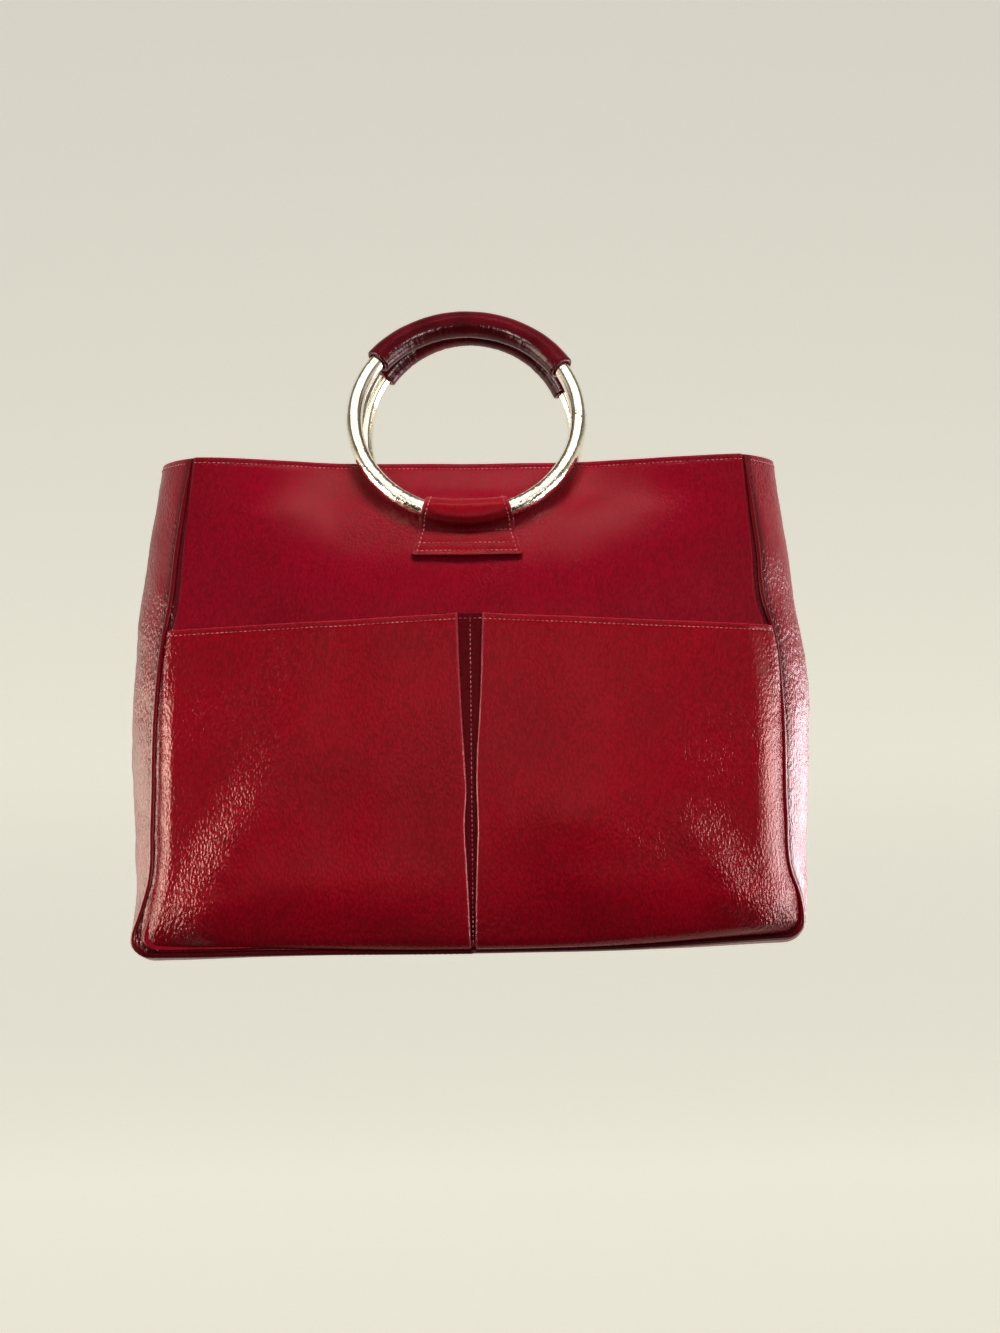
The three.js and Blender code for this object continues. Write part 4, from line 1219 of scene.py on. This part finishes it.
def stitch_tree():
    """Geometry Nodes that set one stitch on each step along a line of the mesh."""
    tree = bpy.data.node_groups.new("stitch rows", "GeometryNodeTree")
    face = tree.interface
    face.new_socket("Rows", in_out="INPUT", socket_type="NodeSocketGeometry")
    for name, value in STITCH_INPUTS.items():
        face.new_socket(name, in_out="INPUT", socket_type="NodeSocketFloat").default_value = value
    face.new_socket("Seed", in_out="INPUT", socket_type="NodeSocketInt").default_value = 7
    face.new_socket("Thread", in_out="INPUT", socket_type="NodeSocketMaterial")
    face.new_socket("Stitches", in_out="OUTPUT", socket_type="NodeSocketGeometry")
    given = add_node(tree, "NodeGroupInput").node.outputs

    curve = add_node(tree, "GeometryNodeMeshToCurve", {"Mesh": given["Rows"]})
    steps = add_node(tree, "GeometryNodeResampleCurve", {
        "Curve": curve, "Length": given["Pitch"],
    }, mode="LENGTH")

    tangent = add_node(tree, "GeometryNodeInputTangent")
    outward = add_node(tree, "GeometryNodeInputNamedAttribute", {
        "Name": "out",
    }, data_type="FLOAT_VECTOR")
    ahead = add_node(tree, "FunctionNodeAlignEulerToVector", {"Vector": tangent}, axis="X")
    upright = add_node(tree, "FunctionNodeAlignEulerToVector", {
        "Rotation": ahead, "Vector": outward,
    }, axis="Z", pivot_axis="X")
    least = add_node(tree, "ShaderNodeMath", {0: given["Wobble"], 1: -1.0}, **TIMES)
    sway = add_node(tree, "FunctionNodeRandomValue", {
        2: least, 3: given["Wobble"], "Seed": given["Seed"],
    }, out=1, data_type="FLOAT")
    spin = add_node(tree, "ShaderNodeCombineXYZ", {"Z": sway})
    turned = add_node(tree, "FunctionNodeRotateEuler", {
        "Rotation": upright, "Rotate By": spin,
    }, space="LOCAL")

    bead = add_node(tree, "GeometryNodeMeshUVSphere", {"Segments": 8, "Rings": 6, "Radius": 1.0})
    half_length = add_node(tree, "ShaderNodeMath", {0: given["Length"], 1: 0.5}, **TIMES)
    half_width = add_node(tree, "ShaderNodeMath", {0: given["Width"], 1: 0.5}, **TIMES)
    size = add_node(tree, "ShaderNodeCombineXYZ", {0: half_length, 1: half_width, 2: half_width})
    stitch = add_node(tree, "GeometryNodeTransform", {"Geometry": bead, "Scale": size})

    placed = add_node(tree, "GeometryNodeInstanceOnPoints", {
        "Points": steps, "Instance": stitch, "Rotation": turned,
    })
    solid = add_node(tree, "GeometryNodeRealizeInstances", {"Geometry": placed})
    smooth = add_node(tree, "GeometryNodeSetShadeSmooth", {"Geometry": solid})
    dyed = add_node(tree, "GeometryNodeSetMaterial", {"Geometry": smooth, "Material": given["Thread"]})
    add_node(tree, "NodeGroupOutput", {"Stitches": dyed})
    return tree


STITCH_TREE = stitch_tree()
THREAD = waxed_thread()


def stitch_rows(name, rows, width=0.55):
    """Sews rows, each a list of points and outward directions in millimetres, into one mesh."""
    points, edges, outs = [], [], []
    for path, out in rows:
        start = len(points)
        points += [tuple(p * MM) for p in path]
        outs += [tuple(o) for o in out]
        edges += [(start + k, start + k + 1) for k in range(len(path) - 1)]
    mesh = bpy.data.meshes.new(name + "_rows")
    mesh.from_pydata(points, edges, [])
    layer = mesh.attributes.new("out", "FLOAT_VECTOR", "POINT")
    layer.data.foreach_set("vector", np.array(outs, np.float32).reshape(-1))
    guide = bpy.data.objects.new(name + "_rows", mesh)
    bpy.context.scene.collection.objects.link(guide)
    sewing = guide.modifiers.new("stitches", "NODES")
    sewing.node_group = STITCH_TREE
    values = {
        "Pitch": PITCH_MM * MM, "Length": LENGTH_MM * MM, "Width": width * MM, "Thread": THREAD,
    }
    for item in STITCH_TREE.interface.items_tree:
        if item.name in values:
            sewing[item.identifier] = values[item.name]
    bpy.context.view_layer.update()
    evaluated = guide.evaluated_get(bpy.context.evaluated_depsgraph_get())
    sewn = bpy.data.meshes.new_from_object(evaluated)
    guide.modifiers.remove(sewing)
    bpy.data.objects.remove(guide)
    piece = bpy.data.objects.new(name, sewn)
    bpy.context.scene.collection.objects.link(piece)
    finish_piece(piece, THREAD, "red_leather")


# %% [markdown]
# The rows themselves follow the faces that were made above. A row is given by its place in a
# face's grid, so a stitch always lies on the leather, also where that dents or folds.


# %% Rows on the pieces
def on_grid(values, r, c):
    """Values of a grid at fractional rows and columns."""
    r, c = np.broadcast_arrays(np.asarray(r, float), np.asarray(c, float))
    r0 = np.clip(r.astype(int), 0, values.shape[0] - 2)
    c0 = np.clip(c.astype(int), 0, values.shape[1] - 2)
    fr, fc = (r - r0)[:, None], (c - c0)[:, None]
    top = values[r0, c0] * (1 - fc) + values[r0, c0 + 1] * fc
    low = values[r0 + 1, c0] * (1 - fc) + values[r0 + 1, c0 + 1] * fc
    return top * (1 - fr) + low * fr


def row_at(face, normal, r, c):
    """Points just above a face along a row of places in its grid, and the directions out."""
    out = on_grid(normal, r, c)
    return on_grid(face, r, c) + out * THREAD_PROUD, out


panel_rows = rows_down(0, PANEL_STEP)
hem_row = np.interp(HEM_STITCH / BODY_HEIGHT, panel_rows, np.arange(len(panel_rows)))
columns = np.arange(4, front_panel_grid.shape[1] - 4)
rows = [
    row_at(front_panel_grid, front_panel_normals, hem_row, columns),
    row_at(back_panel_grid, back_panel_normals, hem_row, columns),
]
columns = np.arange(2, GUSSET_COLUMNS - 2, 1.0) + len(TURNED_IN)
hem_row = HEM_STITCH / GUSSET_STEP
for row in (hem_row, gusset_face.shape[0] - 1 - hem_row):
    rows.append(row_at(gusset_face, gusset_normals, row, columns))
stitch_rows("mouth_stitches", rows)

pocket_row = np.interp(POCKET_STITCH, into * POCKET_HEIGHT, np.arange(len(into)))
left_columns = np.arange(3, half_columns)
right_columns = np.arange(half_columns + pleat_columns, grid.shape[1] - 3)
middle_column = half_columns + pleat_columns / 2 - 0.5
underlay = np.arange(middle_column - 3, middle_column + 3.1, 0.5)
rows = [
    row_at(pocket_face, pocket_normals, pocket_row, columns)
    for columns in (left_columns, right_columns, underlay)
]
down_the_pleat = np.arange(pocket_row + 2, len(into) - 6)
rows.append(row_at(pocket_face, pocket_normals, down_the_pleat, middle_column))
stitch_rows("pocket_stitches", rows)

rows = []
for tab in (front_tab_face, back_tab_face):
    face, normal = tab["face"], tab["normal"]
    share, height = tab["share"], tab["height"][:, 0]
    front_rows = np.arange(tab["arc"] + 21, len(height))
    foot = height[front_rows]
    left, right = (np.interp(s, share, np.arange(len(share))) for s in (-TAB_SIDE, TAB_SIDE))
    for above in (LOW_ROW, HIGH_ROW):
        row = np.interp(-above, -foot, front_rows)
        rows.append(row_at(face, normal, row, np.arange(left, right + 0.1, 1.0)))
    for side in (left, right):
        rows.append(row_at(face, normal, front_rows[foot > LOW_ROW], side))
    row = np.interp(-BAR_ROW, -foot, front_rows)
    rows.append(row_at(face, normal, row, np.arange(right - 6, right + 0.1, 0.5)))
stitch_rows("tab_stitches", rows, width=0.6)

# %% [markdown]
# ## Studio
# The floor and the backdrop are one pale sheet, far enough away that the bag can be seen from
# all sides. Glossy leather shows what is round it more than it shows its own colour: the room
# is bright beside and behind the bag, dimmer on the camera's side and darkest low in front,
# and that draws the pale edges of the pocket and, with a painted shade, its dark foot.

# %% Floor and backdrop
stage_material, tree = new_material("matt paper, warm white")
surface = add_node(tree, "ShaderNodeBsdfPrincipled", {
    "Base Color": linear("#e2e0d2"), "Roughness": 0.9,
    "Emission Color": linear("#fcf9ec"), "Emission Strength": 0.60,
})
add_node(tree, "ShaderNodeOutputMaterial", {"Surface": surface})
FLOOR, FLOOR_FRONT, BACKDROP, BACKDROP_TOP, BEND, REACH = -0.85, -0.35, 1.25, 2.2, 0.5, 3.0
bend = np.radians(np.linspace(0, 90, 13))
profile = [(BACKDROP - BEND + BEND * math.sin(a), FLOOR + BEND - BEND * math.cos(a)) for a in bend]
profile = [(FLOOR_FRONT, FLOOR)] + profile + [(BACKDROP, BACKDROP_TOP)]
sweep_points = [(side * REACH, y, z) for y, z in profile for side in (-1, 1)]
sweep_faces = [(2 * k, 2 * k + 1, 2 * k + 3, 2 * k + 2) for k in range(len(profile) - 1)]
sweep_mesh = bpy.data.meshes.new("studio_sweep")
sweep_mesh.from_pydata(sweep_points, [], sweep_faces)
sweep_mesh.polygons.foreach_set("use_smooth", [True] * len(sweep_faces))
sweep_mesh.materials.append(stage_material)
sweep = bpy.data.objects.new("studio_sweep", sweep_mesh)
bpy.context.scene.collection.objects.link(sweep)

# %% Light
world = bpy.data.worlds.new("soft room")
bpy.context.scene.world = world
world.use_nodes = True
tree = world.node_tree
tree.nodes.clear()
facing = add_node(tree, "ShaderNodeTexCoord", out="Generated")
parts = add_node(tree, "ShaderNodeSeparateXYZ", {0: facing}).node.outputs
behind = add_node(tree, "ShaderNodeMapRange", {0: parts["Y"], 1: -0.9, 2: 0.1, 3: 0.10, 4: 1}, **SMOOTH)
above = add_node(tree, "ShaderNodeMapRange", {0: parts["Z"], 1: -0.5, 2: 0, 3: 0.12, 4: 1}, **SMOOTH)
ceiling = add_node(tree, "ShaderNodeMapRange", {0: parts["Z"], 1: 0.1, 2: 0.6, 3: 1, 4: 0.22}, **SMOOTH)
room = add_node(tree, "ShaderNodeMath", {0: behind, 1: above}, **TIMES)
room = add_node(tree, "ShaderNodeMath", {0: room, 1: ceiling}, **TIMES)
glow = add_node(tree, "ShaderNodeMix", {0: room, 6: linear("#060505"), 7: linear("#fdfaf0")}, **COLOURS)
ray = add_node(tree, "ShaderNodeLightPath").node.outputs
glow = add_node(tree, "ShaderNodeMix", {
    0: ray["Is Camera Ray"], 6: glow, 7: linear("#f2f0e4"),
}, **COLOURS)
strength = add_node(tree, "ShaderNodeMapRange", {0: ray["Is Diffuse Ray"], 3: 0.75, 4: 0.3}, **SMOOTH)
background = add_node(tree, "ShaderNodeBackground", {"Color": glow, "Strength": strength})
add_node(tree, "ShaderNodeOutputWorld", {"Surface": background})
print("world nodes:", len(tree.nodes))


def softbox(name, place, aim, width, height, power, colour, kind, lit):
    """A soft lamp, aimed at a point, for the pieces of one collection.

    A fill gives light and no reflection, a window a reflection and no light, and a card both.
    """
    data = bpy.data.lights.new(name, "AREA")
    data.shape = "RECTANGLE"
    data.size = width
    data.size_y = height
    data.energy = power
    data.color = linear(colour)[:3]
    lamp = bpy.data.objects.new(name, data)
    lamp.location = place
    lamp.rotation_euler = (Vector(aim) - Vector(place)).to_track_quat("-Z", "Y").to_euler()
    lamp.visible_glossy = kind != "fill"
    lamp.visible_diffuse = kind != "window"
    lamp.light_linking.receiver_collection = lit
    bpy.context.scene.collection.objects.link(lamp)


# %% [markdown]
# The lamps are linked to the bag, so the paper behind it keeps one even tone whatever they do.
# The rings are mirrors, and need something bright to mirror on the camera's side too: two large
# pale cards do that, linked to the rings alone, as a photographer would shade the leather. Two
# small ones draw the broken streaks on the gathered side of the grips.

# %% Lamps
bag_pieces = bpy.data.collections.new("bag_pieces")
plated_pieces = bpy.data.collections.new("plated_pieces")
grip_pieces = bpy.data.collections.new("grip_pieces")
for piece in bpy.data.objects:
    if piece.type == "MESH" and piece != sweep:
        bag_pieces.objects.link(piece)
    if piece.name.endswith("_ring_tube"):
        plated_pieces.objects.link(piece)
    if piece.name.endswith("_grip_leather"):
        grip_pieces.objects.link(piece)
CENTRE = (0, 0, -0.2)
for name, place, width, height, power, colour, kind, lit in (
    ("top_fill", (0.1, -0.7, 1.15), 0.7, 0.5, 25, "#fff8ee", "fill", bag_pieces),
    ("front_fill", (0.1, -1.4, 0.0), 0.8, 0.8, 5, "#fff8ee", "fill", bag_pieces),
    ("back_fill", (-0.2, 0.95, 0.7), 0.7, 0.5, 10, "#fff8ee", "fill", bag_pieces),
    ("left_window", (-1.1, -0.3, -0.32), 0.7, 0.5, 20, "#fff1e0", "window", bag_pieces),
    ("right_window", (1.1, -0.3, -0.42), 0.6, 0.45, 14, "#fff6f6", "window", bag_pieces),
    ("left_back_window", (-1.05, 0.42, -0.42), 0.6, 0.6, 3, "#fff0d8", "card", bag_pieces),
    ("right_back_window", (1.05, 0.42, -0.47), 0.6, 0.6, 13, "#fdf6ff", "card", bag_pieces),
    ("ring_card_high", (0, -1.0, 1.25), 2.6, 1.6, 19, "#fffbf4", "card", plated_pieces),
    ("ring_card_low", (0, -1.7, 0.0), 2.6, 1.2, 12, "#fffbf4", "card", plated_pieces),
    ("grip_strip_left", (-0.6, -0.9, -0.25), 0.3, 0.14, 9, "#fff4ea", "window", grip_pieces),
    ("grip_strip_right", (0.6, -0.9, -0.25), 0.3, 0.14, 9, "#fff4ea", "window", grip_pieces),
):
    softbox(name, place, CENTRE, width, height, power, colour, kind, lit)
